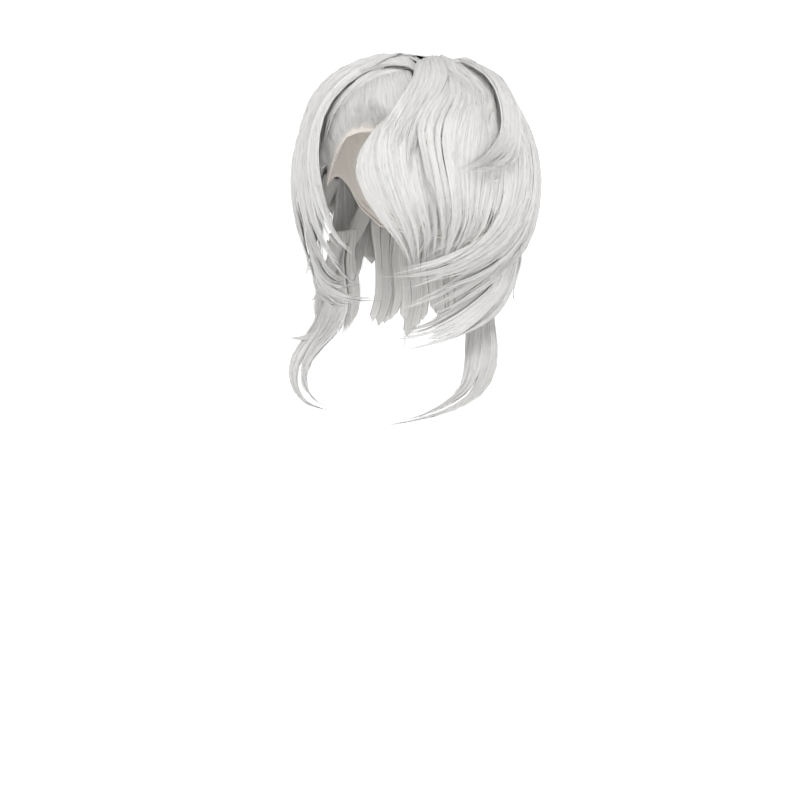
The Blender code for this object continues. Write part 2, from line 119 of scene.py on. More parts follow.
deselect_all()
bpy.ops.mesh.primitive_plane_add(size=FLOOR_SIZE, location=(0, 0, -FLOOR_DOWN))
floor = bpy.context.active_object
floor.name = "studio_floor"
floor.data.materials.append(plain_material("studio_white", FLOOR_WHITE, FLOOR_ROUGHNESS, FLOOR_GLOW)[0])
print("floor:", FLOOR_SIZE, "m wide")

# %% [markdown]
# White hair on a white ground shows its form only by soft shade. A small hard lamp would draw black lines
# between the locks, so the light is broad: a wide sun from above the face, a large lamp that reaches in under
# the fringe, and a white sky that is brighter near the horizon.

# %% Sun, lamp and sky
SUN_POWER, SUN_SPREAD = 1.3, math.radians(25)
SUN_PLACE = Vector((0.40, -0.80, 1.5))
LAMP_POWER, LAMP_SIZE = 9, 1.2
LAMP_PLACE, LAMP_AIM = Vector((0.95, -1.5, -0.35)), Vector((0, 0, -0.12))
SKY_FALL = {"From Min": 0.10, "From Max": 0.55, "To Min": 1.1, "To Max": 0.65}


def light(name, kind, power):
    made = bpy.data.objects.new(name, bpy.data.lights.new(name, kind))
    made.data.energy = power
    bpy.context.scene.collection.objects.link(made)
    return made


def node(tree, kind, inputs=(), **settings):
    """A new node with its settings, and then the values of its open inputs."""
    made = tree.nodes.new(kind)
    for key, value in settings.items():
        setattr(made, key, value)
    for socket, value in dict(inputs).items():
        made.inputs[socket].default_value = value
    return made


def link(tree, source, output, target, socket):
    tree.links.new(source.outputs[output], target.inputs[socket])


sun = light("key", "SUN", SUN_POWER)
sun.data.angle = SUN_SPREAD
sun.rotation_euler = SUN_PLACE.to_track_quat("Z", "Y").to_euler()
lamp = light("fill", "AREA", LAMP_POWER)
lamp.data.size = LAMP_SIZE
lamp.location = LAMP_PLACE
lamp.rotation_euler = (LAMP_AIM - LAMP_PLACE).to_track_quat("-Z", "Y").to_euler()

world = bpy.data.worlds.new("white_sky")
world.use_nodes = True
sky = world.node_tree
sky.nodes["Background"].inputs["Color"].default_value = (1, 1, 1, 1)
direction = node(sky, "ShaderNodeTexCoord")
parts = node(sky, "ShaderNodeSeparateXYZ")
fall = node(sky, "ShaderNodeMapRange", SKY_FALL)
link(sky, direction, "Generated", parts, "Vector")
link(sky, parts, "Z", fall, "Value")
link(sky, fall, "Result", sky.nodes["Background"], "Strength")
bpy.context.scene.world = world
bpy.context.scene.view_settings.view_transform = "Standard"
print("lights:", sun.name, lamp.name, world.name)

# %% [markdown]
# Silver white synthetic hair is a smooth plastic fibre, and no two fibres take the light alike. One flat
# white would make the locks look moulded, and a picture of hair would blur close up. So every strand carries
# its own tone as an attribute, and a noise that is stretched along the fibre adds streaks and a fine relief.
# The tone also holds painted shade and painted light: lock bodies and low strands are darker, as shade between
# the strands, crests are lighter, and strands under the locks are painted lighter where the inside is shaded.

# %% Finish of the hair
# HAIR_SHADE is the colour of the lowest tone: random darker fibres, and painted shade between the strands.
HAIR_LIGHT, HAIR_SHADE = (0.77, 0.765, 0.755), (0.44, 0.425, 0.405)
HAIR_ROUGHNESS = 0.34
HAIR_SHEEN = {"Specular IOR Level": 0.5, "Sheen Weight": 0.15, "Sheen Roughness": 0.4}
STREAKS = (1600, 14, 1)  # to the metre, across the fibre and along it
STREAK_TONES = {"From Min": 0.25, "From Max": 0.75, "To Min": -0.10, "To Max": 0.10}
STREAK_RELIEF, STREAK_DEPTH = 0.35, 0.0003


def tint(tree, shader, source, output, first, second):
    """Colours the finish from the first colour to the second as the source goes from 0 to 1."""
    mixed = node(tree, "ShaderNodeMix", {"A": (*first, 1), "B": (*second, 1)}, data_type="RGBA")
    link(tree, source, output, mixed, "Factor")
    link(tree, mixed, "Result", shader, "Base Color")


def relief(tree, shader, source, output, strength, depth, invert=False):
    """Lets the source be felt as a relief of this depth in metres."""
    bump = node(tree, "ShaderNodeBump", {"Strength": strength, "Distance": depth}, invert=invert)
    link(tree, source, output, bump, "Height")
    link(tree, bump, "Normal", shader, "Normal")


def hair_material():
    made, shader = plain_material("silver_fibre", HAIR_LIGHT, HAIR_ROUGHNESS, HAIR_SHEEN)
    tree = made.node_tree
    tone = node(tree, "ShaderNodeAttribute", attribute_name="tone")
    fibre = node(tree, "ShaderNodeUVMap", uv_map="fibre")
    spread = node(tree, "ShaderNodeMapping", {"Scale": STREAKS})
    streak = node(tree, "ShaderNodeTexNoise", {"Scale": 1, "Detail": 3}, noise_dimensions="2D")
    shift = node(tree, "ShaderNodeMapRange", STREAK_TONES)
    total = node(tree, "ShaderNodeMath", operation="ADD", use_clamp=True)
    link(tree, fibre, "UV", spread, "Vector")
    link(tree, spread, "Vector", streak, "Vector")
    link(tree, streak, "Fac", shift, "Value")
    link(tree, tone, "Fac", total, 0)
    link(tree, shift, "Result", total, 1)
    tint(tree, shader, total, "Value", HAIR_SHADE, HAIR_LIGHT)
    relief(tree, shader, streak, "Fac", STREAK_RELIEF, STREAK_DEPTH)
    return made


SILVER_FIBRE = hair_material()
print("finish:", SILVER_FIBRE.name)

# %% [markdown]
# Hair hangs round a head, so its places are easier to give on a plain head form than in metres, in a
# hairdresser's way: how far round from the face toward the wearer's left in degrees, how far down in crown
# heights, and how far off the head as a share of one lift.

# %% The head form
HEAD_WIDTH = 0.152
HEAD_DEPTH = 0.192
CROWN_HEIGHT = 0.098
NECK_SHARE = 0.78
NECK_DOWN = 2.2
LIFT = 0.050


def smooth(share):
    share = np.clip(share, 0, 1)
    return share * share * (3 - 2 * share)


def outward(points):
    """Unit directions that lead straight away from the head form."""
    points = np.asarray(points, float)
    rise = np.maximum(points[..., 2] + CROWN_HEIGHT, 0)
    found = np.stack([points[..., 0] / HEAD_WIDTH ** 2, points[..., 1] / HEAD_DEPTH ** 2,
                      rise / (2 * CROWN_HEIGHT) ** 2], axis=-1)
    return found / np.maximum(np.linalg.norm(found, axis=-1, keepdims=True), 1e-9)


def on_head(turn, down, lift):
    """The point at this turn and down, lift metres off the head form."""
    angle = np.radians(turn)
    down = np.asarray(down, float)
    above = np.radians(90 * np.minimum(down, 1))
    neck = 1 - (1 - NECK_SHARE) * smooth((down - 1) / (NECK_DOWN - 1))
    size = np.where(down <= 1, np.sin(above), neck)
    level = np.where(down <= 1, -CROWN_HEIGHT * (1 - np.cos(above)), -CROWN_HEIGHT * down)
    base = np.stack([HEAD_WIDTH / 2 * size * np.sin(angle), -HEAD_DEPTH / 2 * size * np.cos(angle), level],
                    axis=-1)
    return base + outward(base) * np.asarray(lift, float)[..., None]


print("a place at the temple:", on_head(60, 0.7, LIFT).round(3))

# %% [markdown]
# Hair falls in flow lines, from its root to its tip. Each table gives the lines of one layer as stations of
# (turn, down, lift), and the layer is the smooth sheet through its lines. A few lines with a curve through
# them bend as hair does. On the wearer's right, hair is combed back from the hairline, and a long curtain
# falls over it.

# %% Flow lines of the wearer's right
RIGHT_ROOTS = (
    ((40, 0.44, 0.06), (34, 0.34, 0.14), (20, 0.20, 0.20), (-60, 0.06, 0.24), (-110, 0.16, 0.26)),
    ((16, 0.56, 0.06), (8, 0.42, 0.15), (-8, 0.28, 0.21), (-60, 0.17, 0.25), (-106, 0.24, 0.27)),
    ((-6, 0.60, 0.06), (-14, 0.46, 0.16), (-32, 0.34, 0.22), (-68, 0.29, 0.26), (-102, 0.36, 0.28)),
    ((-22, 0.66, 0.06), (-32, 0.54, 0.16), (-50, 0.46, 0.22), (-76, 0.45, 0.26), (-98, 0.51, 0.28)),
    ((-34, 0.75, 0.06), (-44, 0.68, 0.16), (-60, 0.63, 0.22), (-80, 0.63, 0.26), (-96, 0.69, 0.28)),
    ((-39, 0.92, 0.06), (-50, 0.87, 0.16), (-66, 0.83, 0.22), (-82, 0.83, 0.26), (-96, 0.88, 0.28)),
)
RIGHT_CURTAIN = (
    ((74, 0.08, 0.26), (-10, 0.04, 0.40), (-52, 0.12, 0.45), (-64, 0.24, 0.51), (-64, 0.42, 0.68),
     (-60, 0.58, 0.75), (-55, 0.75, 0.69), (-49, 0.95, 0.61), (-45, 1.25, 0.57), (-41, 1.54, 0.51),
     (-35, 1.72, 0.47), (-26, 1.88, 0.46), (-12, 1.94, 0.48)),
    ((56, 0.13, 0.26), (2, 0.10, 0.37), (-38, 0.17, 0.42), (-58, 0.27, 0.47), (-56, 0.42, 0.54),
     (-51, 0.60, 0.57), (-46, 0.78, 0.53), (-41, 0.95, 0.48), (-36, 1.23, 0.45), (-30, 1.51, 0.45),
     (-22, 1.68, 0.46), (-12, 1.78, 0.48)),
    ((46, 0.20, 0.26), (14, 0.17, 0.35), (-20, 0.21, 0.37), (-47, 0.31, 0.39), (-50, 0.44, 0.41),
     (-46, 0.59, 0.44), (-38, 0.76, 0.42), (-31, 0.92, 0.38), (-24, 1.16, 0.36), (-15, 1.46, 0.40),
     (-5, 1.58, 0.45)),
)
RIGHT_BACK = (
    ((-24, 0.07, 0.12), (-52, 0.24, 0.32), (-58, 0.45, 0.44), (-62, 0.75, 0.48), (-60, 0.95, 0.46),
     (-57, 1.17, 0.48), (-54, 1.40, 0.46)),
    ((-44, 0.04, 0.12), (-70, 0.22, 0.40), (-76, 0.45, 0.64), (-78, 0.75, 0.78), (-75, 0.95, 0.79),
     (-72, 1.17, 0.76), (-68, 1.48, 0.72), (-62, 1.70, 0.64), (-58, 1.88, 0.58), (-64, 2.02, 0.70)),
    ((-80, 0.03, 0.12), (-90, 0.30, 0.48), (-92, 0.60, 0.70), (-92, 0.90, 0.80), (-89, 1.20, 0.82),
     (-84, 1.50, 0.78), (-79, 1.78, 0.70), (-80, 2.02, 0.68)),
    ((-112, 0.03, 0.14), (-109, 0.34, 0.50), (-109, 0.62, 0.72), (-108, 0.90, 0.82), (-106, 1.20, 0.84),
     (-103, 1.52, 0.80), (-99, 1.82, 0.74), (-97, 2.10, 0.70)),
)
RIGHT_LOW = (
    ((-84, 1.00, 0.30), (-76, 1.28, 0.48), (-64, 1.50, 0.50), (-54, 1.70, 0.44), (-42, 1.86, 0.40),
     (-24, 1.93, 0.42), (-8, 1.85, 0.50)),
    ((-93, 1.05, 0.30), (-84, 1.34, 0.50), (-70, 1.62, 0.54), (-58, 1.82, 0.48), (-46, 1.97, 0.42),
     (-26, 2.06, 0.42), (-4, 2.10, 0.50), (12, 2.06, 0.62)),
    ((-102, 1.10, 0.30), (-93, 1.42, 0.52), (-80, 1.74, 0.60), (-69, 1.97, 0.54), (-58, 2.12, 0.46),
     (-40, 2.20, 0.44), (-16, 2.20, 0.50)),
)
print("right side:", len(RIGHT_ROOTS + RIGHT_CURTAIN + RIGHT_BACK + RIGHT_LOW), "flow lines")

# %% [markdown]
# The fringe starts at the parting, swings out and falls over the middle of the face. Beside it the locks bend
# in an S, and one lock of the crown curls forward over the temple in a C. These bends are the wig's own look,
# so their lines have the most stations.

# %% Flow lines of the fringe and the crown curl
FRINGE = (
    ((34, 0.24, 0.12), (26, 0.36, 0.24), (21, 0.47, 0.22), (16, 0.56, 0.18), (10, 0.64, 0.15),
     (2, 0.73, 0.20), (-1, 0.82, 0.29), (-1, 0.90, 0.38), (4, 1.01, 0.45), (12, 1.22, 0.47),
     (20, 1.42, 0.49), (26, 1.58, 0.54), (29, 1.72, 0.57)),
    ((46, 0.13, 0.12), (26, 0.32, 0.28), (20, 0.50, 0.32), (16, 0.66, 0.34), (17, 0.82, 0.43),
     (21, 0.96, 0.50), (26, 1.16, 0.53), (31, 1.42, 0.54), (33, 1.66, 0.57)),
    ((76, 0.09, 0.14), (58, 0.32, 0.32), (52, 0.46, 0.42), (42, 0.60, 0.48), (38, 0.72, 0.52),
     (38, 0.88, 0.56), (41, 1.08, 0.57), (44, 1.30, 0.56), (44, 1.56, 0.55)),
)
FRINGE_SIDE = (
    ((84, 0.07, 0.20), (58, 0.22, 0.38), (53, 0.36, 0.46), (46, 0.48, 0.54), (36, 0.60, 0.58),
     (31, 0.70, 0.66), (33, 0.85, 0.70), (37, 1.06, 0.70), (41, 1.30, 0.67), (43, 1.54, 0.64)),
    ((96, 0.11, 0.20), (67, 0.38, 0.50), (58, 0.53, 0.62), (47, 0.66, 0.64), (44, 0.78, 0.68),
     (47, 0.95, 0.70), (50, 1.20, 0.70), (49, 1.40, 0.68), (47, 1.60, 0.64)),
    ((108, 0.14, 0.20), (82, 0.42, 0.54), (71, 0.57, 0.70), (64, 0.71, 0.70), (59, 0.84, 0.68),
     (57, 1.00, 0.68), (57, 1.23, 0.69), (55, 1.42, 0.68), (51, 1.60, 0.64)),
    ((118, 0.18, 0.20), (98, 0.46, 0.52), (88, 0.60, 0.68), (81, 0.75, 0.69), (76, 0.90, 0.68),
     (73, 1.08, 0.70), (70, 1.28, 0.71), (63, 1.46, 0.69), (55, 1.58, 0.65)),
)
CROWN_CURL = (
    ((130, 0.20, 0.36), (108, 0.22, 0.46), (94, 0.29, 0.54), (84, 0.41, 0.62), (78, 0.54, 0.72),
     (73, 0.66, 0.79), (69, 0.74, 0.80), (62, 0.81, 0.79), (53, 0.85, 0.76), (46, 0.87, 0.74)),
    ((150, 0.26, 0.36), (130, 0.29, 0.54), (108, 0.38, 0.72), (95, 0.52, 0.88), (88, 0.65, 0.96),
     (83, 0.76, 0.90), (77, 0.86, 0.85), (66, 0.90, 0.80), (52, 0.91, 0.75)),
)
print("fringe and curl:", len(FRINGE + FRINGE_SIDE + CROWN_CURL), "flow lines")

# %% [markdown]
# On the wearer's left three layers hang one under the other, and the ends of all three feather forward to the
# face. Each is a sheet of its own, so that a layer's ends lie free over the next.

# %% Flow lines of the wearer's left
LEFT_UPPER = (
    ((98, 0.09, 0.14), (90, 0.35, 0.40), (79, 0.60, 0.56), (75, 0.86, 0.62), (74, 1.12, 0.64),
     (66, 1.38, 0.66), (54, 1.58, 0.62), (41, 1.74, 0.58), (27, 1.79, 0.56)),
    ((120, 0.07, 0.14), (101, 0.38, 0.50), (91, 0.64, 0.68), (88, 0.87, 0.75), (85, 1.08, 0.76),
     (79, 1.33, 0.75), (66, 1.54, 0.71), (50, 1.70, 0.66), (34, 1.79, 0.60), (18, 1.82, 0.56)),
    ((142, 0.05, 0.14), (117, 0.39, 0.60), (107, 0.68, 0.78), (104, 0.90, 0.86), (103, 1.12, 0.87),
     (99, 1.42, 0.84), (86, 1.64, 0.75), (68, 1.79, 0.67), (51, 1.88, 0.61), (37, 1.93, 0.58)),
    ((168, 0.04, 0.14), (136, 0.36, 0.60), (125, 0.56, 0.76), (120, 0.78, 0.90), (118, 0.98, 0.97),
     (117, 1.28, 1.00), (112, 1.56, 0.93), (98, 1.77, 0.82), (80, 1.90, 0.71)),
)
LEFT_MIDDLE = (
    ((84, 0.60, 0.10), (87, 0.90, 0.40), (88, 1.20, 0.54), (84, 1.46, 0.58), (70, 1.69, 0.57),
     (52, 1.88, 0.56), (38, 2.00, 0.59), (24, 2.10, 0.66)),
    ((108, 0.60, 0.10), (112, 0.90, 0.50), (113, 1.20, 0.74), (108, 1.52, 0.80), (94, 1.79, 0.73),
     (72, 1.99, 0.67), (52, 2.15, 0.63), (34, 2.23, 0.62)),
)
LEFT_LOWER = (
    ((92, 1.00, 0.10), (95, 1.36, 0.44), (92, 1.68, 0.54), (77, 1.93, 0.52), (57, 2.12, 0.49),
     (42, 2.26, 0.50), (25, 2.35, 0.58)),
    ((118, 1.00, 0.10), (119, 1.42, 0.62), (114, 1.72, 0.80), (108, 1.98, 0.83), (95, 2.20, 0.75),
     (72, 2.37, 0.65), (50, 2.47, 0.62), (26, 2.46, 0.68)),
)
print("left side:", len(LEFT_UPPER + LEFT_MIDDLE + LEFT_LOWER), "flow lines")

# %% [markdown]
# A tail hangs from the nape on each side and comes forward in a curve to one fine tip. Two flow lines are
# enough, because they run together at the tip.

# %% Flow lines of the tails
TAIL_RIGHT = (
    ((-126, 1.30, 0.05), (-117, 1.54, 0.14), (-103, 1.87, 0.34), (-89, 2.12, 0.42), (-81, 2.33, 0.50),
     (-76, 2.49, 0.54), (-69, 2.63, 0.68), (-61, 2.77, 0.90), (-53, 2.94, 1.02), (-42, 3.11, 1.00),
     (-27, 3.21, 0.88), (-8, 3.19, 0.77)),
    ((-114, 1.24, 0.05), (-102, 1.52, 0.08), (-85, 1.88, 0.08), (-74, 2.10, -0.04), (-69, 2.28, -0.12),
     (-66, 2.45, -0.08), (-62, 2.61, 0.10), (-56, 2.73, 0.36), (-49, 2.86, 0.54), (-41, 2.98, 0.62),
     (-28, 3.09, 0.66), (-8, 3.16, 0.73)),
)
TAIL_LEFT = (
    ((136, 1.30, 0.05), (130, 1.55, 0.16), (119, 1.92, 0.38), (105, 2.32, 0.56), (96, 2.61, 0.76),
     (82, 2.81, 0.94), (66, 2.97, 1.12), (50, 3.07, 1.22), (36, 3.14, 1.24), (21, 3.21, 1.20)),
    ((116, 1.24, 0.05), (112, 1.54, 0.10), (102, 1.95, 0.20), (91, 2.33, 0.18), (82, 2.55, 0.30),
     (72, 2.74, 0.50), (59, 2.90, 0.78), (45, 3.02, 0.98), (33, 3.11, 1.12), (21, 3.18, 1.18)),
)
print("tails:", len(TAIL_RIGHT + TAIL_LEFT), "flow lines")

# %% [markdown]
# The back is plain layered hair. Its lines differ only in their turn, so one line is given as (down, lift),
# and a function repeats it round the head with a small sway.

# %% Flow lines of the back
BACK_CROWN = ((0.03, 0.12), (0.38, 0.58), (0.75, 0.84), (1.10, 0.94), (1.45, 0.92), (1.75, 0.84),
              (1.98, 0.80))
BACK_MIDDLE = ((0.70, 0.10), (1.10, 0.54), (1.50, 0.70), (1.90, 0.68), (2.15, 0.62), (2.38, 0.62))
BACK_UNDER = ((1.10, 0.08), (1.50, 0.26), (1.90, 0.32), (2.30, 0.36), (2.70, 0.46), (2.98, 0.60))
CROWN_TURNS = (122, 144, 170, 197, 224, 252)
MIDDLE_TURNS = (118, 140, 163, 186, 210, 233, 254)
UNDER_TURNS = (127, 152, 180, 207, 232)
BACK_SWAY = 3.0  # degrees of turn that the back hair waves to each side
BACK_TUCK = 0.86  # lift of its two outer flow lines, as a share of the others'


def back_flows(stations, turns):
    flows = []
    for k, turn in enumerate(turns):
        sway = [BACK_SWAY * math.sin(2.2 * i + 1.3 * k) for i in range(len(stations))]
        tuck = BACK_TUCK if turn in (turns[0], turns[-1]) else 1
        flows.append(tuple((turn + s, down, lift * tuck) for s, (down, lift) in zip(sway, stations)))
    return tuple(flows)


print("back:", len(CROWN_TURNS + MIDDLE_TURNS + UNDER_TURNS), "flow lines")

# %% [markdown]
# A layer's sheet is a grid of places, read at even steps across its flow lines and along them. A curve object
# would give the same bends, but a grid of numbers can be asked for any place between two lines.

# %% Sheets of hair
ACROSS, ALONG = 41, 57


def curve(points, at, where):
    """A smooth curve through the points, which lie at the values at, read at the values where."""
    flat = points.reshape(len(points), -1)
    slopes = np.gradient(flat, at, axis=0)
    k = np.clip(np.searchsorted(at, where, side="right") - 1, 0, len(at) - 2)
    step = (at[k + 1] - at[k])[:, None]
    t = (where - at[k])[:, None] / step
    start = (1 + 2 * t) * (1 - t) ** 2 * flat[k] + t * (1 - t) ** 2 * step * slopes[k]
    found = start + t * t * (3 - 2 * t) * flat[k + 1] + t * t * (t - 1) * step * slopes[k + 1]
    return found.reshape(len(where), *points.shape[1:])


def flow_sheet(table):
    lines = []
    for stations in table:
        rows = np.array(stations, float)
        points = on_head(rows[:, 0], rows[:, 1], rows[:, 2] * LIFT)
        at = np.concatenate([[0], np.cumsum(np.linalg.norm(np.diff(points, axis=0), axis=1))])
        lines.append(curve(points, at, np.linspace(0, at[-1], ALONG)))
    return curve(np.array(lines), np.linspace(0, 1, len(lines)), np.linspace(0, 1, ACROSS))


print("places on the fringe's sheet:", flow_sheet(FRINGE).shape[:2])

# %% [markdown]
# The sheet is then rested on its solid. Dropping it by physics would be slow and never twice the same, so a
# ray goes out from under each place of the sheet to the solid's inner side. The sheet takes that lift, evened
# out.

# %% Resting a sheet on its solid
UNDER, MOST_LIFT = 0.004, 0.030
EVENINGS = 8


def neighbours(values):
    padded = np.pad(values, 1, mode="edge")
    return np.stack([padded[:-2, 1:-1], padded[2:, 1:-1], padded[1:-1, :-2], padded[1:-1, 2:]])


def solid_tree(names):
    """The faces of these solids, ready for rays."""
    points, faces = [], []
    for name in names:
        solid = frame["nodes"][name].data
        faces += [[n + len(points) for n in polygon.vertices] for polygon in solid.polygons]
        points += [vertex.co for vertex in solid.vertices]
    return BVHTree.FromPolygons(points, faces)


def rest(grid, names, on_top):
    """The sheet, lifted to the inner side of its own solid, or on top of the solids below it."""
    tree = solid_tree(names)
    ways = outward(grid)
    lift = np.full(grid.shape[:2], np.nan)
    for place in np.ndindex(*lift.shape):
        start, way = (MOST_LIFT, -1) if on_top else (-UNDER, 1)
        found = tree.ray_cast(Vector(grid[place] + ways[place] * start), Vector(way * ways[place]),
                              MOST_LIFT + UNDER)
        if found[0] is not None:
            lift[place] = start + way * found[3]
    if np.isnan(lift).all():
        lift[:] = 0
    while np.isnan(lift).any():
        beside = neighbours(lift)
        count = np.isfinite(beside).sum(axis=0)
        mean = np.nansum(beside, axis=0) / np.maximum(count, 1)
        lift = np.where(np.isnan(lift) & (count > 0), mean, lift)
    for _ in range(EVENINGS):
        lift = lift / 2 + neighbours(lift).mean(axis=0) / 2
    return grid + ways * np.maximum(lift, 0)[..., None]


print("faces of the fringe's solid:", len(frame["nodes"]["fringe"].data.polygons))

# %% [markdown]
# A lock stands off its sheet, so each place needs the way that the sheet faces. Where a sheet narrows to a
# tip there is no width left to tell that from, and the way is kept from the place before.

# %% Which way a sheet faces
LOCK_THICKNESS = 0.0050
PAST_EDGE, PAST_END = 3, 2  # steps of the grid that a strand may reach past the sheet


def facing(grid):
    """Unit normals of the sheet, on the side away from the head."""
    along = np.gradient(grid, axis=1)
    across = np.gradient(grid, axis=0)
    width = np.linalg.norm(across, axis=-1, keepdims=True)
    across = across / np.maximum(width, 1e-9)
    for row in range(1, ALONG):
        narrow = width[:, row] * (ACROSS - 1) < LOCK_THICKNESS
        across[:, row] = np.where(narrow, across[:, row - 1], across[:, row])
    normals = np.cross(along, across)
    normals /= np.linalg.norm(normals, axis=-1, keepdims=True)
    third = ALONG // 3
    return -normals if (normals[:, third] * outward(grid[:, third])).sum() < 0 else normals


def on_sheet(sheet, u, s):
    """Places and outward directions on the sheet at the shares u across and s along."""
    a, b = u * (ACROSS - 1), s * (ALONG - 1)
    i = np.clip(np.floor(a), 0, ACROSS - 2).astype(int)
    j = np.clip(np.floor(b), 0, ALONG - 2).astype(int)
    x = np.clip(a - i, -PAST_EDGE, 1 + PAST_EDGE)[..., None]
    y = np.clip(b - j, 1 - PAST_END, 1 + PAST_END)[..., None]

    def read(values):
        near = values[i, j] * (1 - x) + values[i + 1, j] * x
        far = values[i, j + 1] * (1 - x) + values[i + 1, j + 1] * x
        return near * (1 - y) + far * y

    rise = read(sheet[1])
    return read(sheet[0]), rise / np.linalg.norm(rise, axis=-1, keepdims=True)


print("the fringe faces", facing(flow_sheet(FRINGE))[ACROSS // 2, ALONG // 2].round(2))

# %% [markdown]
# A strand or a lock is a closed tube: rings of points from root to tip, and one point where it ends.
# Blender's own hair curves are no mesh, and an operator for each of thousands of tubes would take hours.
# So they are made together as arrays of numbers.

# %% Tubes
def tube_faces(count, rows, sides):
    """Triangles of count tubes, each with rows rings of sides points and an end point."""
    ring = np.arange(sides)
    turn = (ring + 1) % sides
    a = (np.arange(rows - 1)[:, None] * sides + ring).ravel()
    b = (np.arange(rows - 1)[:, None] * sides + turn).ravel()
    last, tip = (rows - 1) * sides, rows * sides
    faces = np.concatenate([
        np.stack([a, a + sides, b + sides], axis=1),
        np.stack([a, b + sides, b], axis=1),
        np.stack([last + ring, np.full(sides, tip), last + turn], axis=1),
        np.stack([np.zeros(sides - 2, int), ring[1:-1], ring[2:]], axis=1),
    ])
    return (faces[None] + (np.arange(count) * (tip + 1))[:, None, None]).reshape(-1, 3)


def tubes(rings, tips, ring_uv, tips_uv, ring_tone, tips_tone, ring_facing=None, tips_facing=None):
    """Points, triangles, fibre places, tones and shading normals of closed tubes.
    Normals of no length leave the shading to the tube's own round shape.
    """
    count, rows, sides = rings.shape[:3]

    def join(body, end):
        return np.concatenate([body.reshape(count, rows * sides, -1), end.reshape(count, 1, -1)], axis=1)

    points = join(rings, tips)
    faces = tube_faces(count, rows, sides)
    flat = points.reshape(-1, 3)
    corners = flat[faces]
    if np.einsum("ij,ij->i", corners[:, 0], np.cross(corners[:, 1], corners[:, 2])).sum() < 0:
        faces = faces[:, ::-1]
    looks = np.zeros(flat.shape) if ring_facing is None else join(ring_facing, tips_facing).reshape(-1, 3)
    return flat, faces, join(ring_uv, tips_uv).reshape(-1, 2), join(ring_tone, tips_tone).reshape(-1), looks


print("triangles of one strand with ten rings:", len(tube_faces(1, 10, 3)))

# %% [markdown]
# A three-sided strand would show its edges. It is shaded softly instead: its normals lean toward the way that
# its lock faces, as the light on combed hair runs over the whole lock and not over each fibre.

# %% Strands
SILK = 0.6  # how far a strand's shading follows the lock instead of its own roundness


def strands_along(paths, rises, radii, uv, tone, seen=1):
    """Three-sided strands round the paths. The last place of each path is its tip.
    They shade toward the side that they are seen from: 1 for the outer side of a lock, -1 for its inner side.
    """
    ways = np.gradient(paths, axis=1)
    ways /= np.maximum(np.linalg.norm(ways, axis=-1, keepdims=True), 1e-12)
    side = np.cross(ways, rises)
    side /= np.maximum(np.linalg.norm(side, axis=-1, keepdims=True), 1e-12)
    top = np.cross(side, ways)
    rings, looks = [], []
    for angle in (90, 210, 330):
        turned = side * math.cos(math.radians(angle)) + top * math.sin(math.radians(angle))
        rings.append(paths + turned * radii[..., None])
        looks.append(turned * (1 - SILK) + top * SILK * seen)
    rings = np.stack(rings, axis=2)[:, :-1]
    looks = np.stack(looks, axis=2)[:, :-1]
    looks /= np.linalg.norm(looks, axis=-1, keepdims=True)
    ring_uv = np.repeat(uv[:, :-1, None], 3, axis=2)
    ring_tone = np.repeat(tone[:, :-1, None], 3, axis=2)
    tip_looks = top[:, -1] * np.reshape(seen, (-1, 1))
    return tubes(rings, paths[:, -1], ring_uv, uv[:, -1], ring_tone, tone[:, -1], looks, tip_looks)


print("a strand's shading follows its lock by", SILK)

# %% [markdown]
# All tubes of a layer become one mesh. Adding them point by point would be slow, so foreach_set hands over
# whole arrays. The mesh carries what its finish reads: the fibre map for the streaks, and the tone of each
# point.

# %% One piece from many tubes
def hair_piece(name, parts, finish=SILVER_FIBRE):
    """One object from many tubes, with its fibre UV map and its tones."""
    starts = np.cumsum([0] + [len(part[0]) for part in parts])
    points = np.concatenate([part[0] for part in parts])
    faces = np.concatenate([part[1] + start for part, start in zip(parts, starts)])
    fibre = np.concatenate([part[2] for part in parts])
    tone = np.concatenate([part[3] for part in parts])
    looks = np.concatenate([part[4] for part in parts])
    mesh = bpy.data.meshes.new(name)
    mesh.vertices.add(len(points))
    mesh.vertices.foreach_set("co", points.astype(np.float32).ravel())
    mesh.loops.add(faces.size)
    mesh.loops.foreach_set("vertex_index", faces.astype(np.int32).ravel())
    mesh.polygons.add(len(faces))
    mesh.polygons.foreach_set("loop_start", np.arange(0, faces.size, 3, dtype=np.int32))
    mesh.uv_layers.new(name="fibre")
    mesh.uv_layers["fibre"].data.foreach_set("uv", fibre[faces.ravel()].astype(np.float32).ravel())
    mesh.attributes.new("tone", "FLOAT", "POINT")
    mesh.attributes["tone"].data.foreach_set("value", np.clip(tone, 0, 1).astype(np.float32))
    mesh.update(calc_edges=True)
    mesh.polygons.foreach_set("use_smooth", np.ones(len(faces), bool))
    mesh.normals_split_custom_set_from_vertices(looks.tolist())
    mesh.materials.append(finish)
    made = bpy.data.objects.new(name, mesh)
    bpy.context.scene.collection.objects.link(made)
    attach(made, "root")
    return made


print("attributes of each piece: fibre, tone")

# %% [markdown]
# A layer parts into the locks of its solid, and each of them into finer locks that lie half over each other.
# A lock runs full from its root, then narrows, gathers to its tip and sways a little. Each fine lock is one
# row of a table with a share of chance, because locks of one width look like a comb.

# %% Fine locks
LOOSE = {"left_upper": 1.6, "fringe_side": 2.0, "left_middle": 1.7, "left_lower": 1.7, "fringe": 1.3,
         "right_curtain": 1.3, "cheek_feather": 1.5, "neck_feather": 1.5}  # how freely the locks lie
OVERLAP = 0.72  # half width of a fine lock, as a share of its room
SHIFTS, WIDTHS, SPREADS = (-0.2, 0.2), (0.95, 1.35), (0.8, 1.2)  # chance in its place, width and tip
REACHES, SPLITS = (0.86, 1.0), (0.85, 1.05)  # in its length, and in where it starts to gather
HEIGHTS, SWAYS, PHASES = (0, 0.34), (0.2, 1), (0, 6.28)  # in how high it lies, and in its sway
NARROWS, NARROW_BEND = 0.93, 1.6
SWAY_WIDTH, SWAY_WAVES = 0.35, 6.5
ROOT_RUN = 0.14  # share of a lock over which it rises from its root


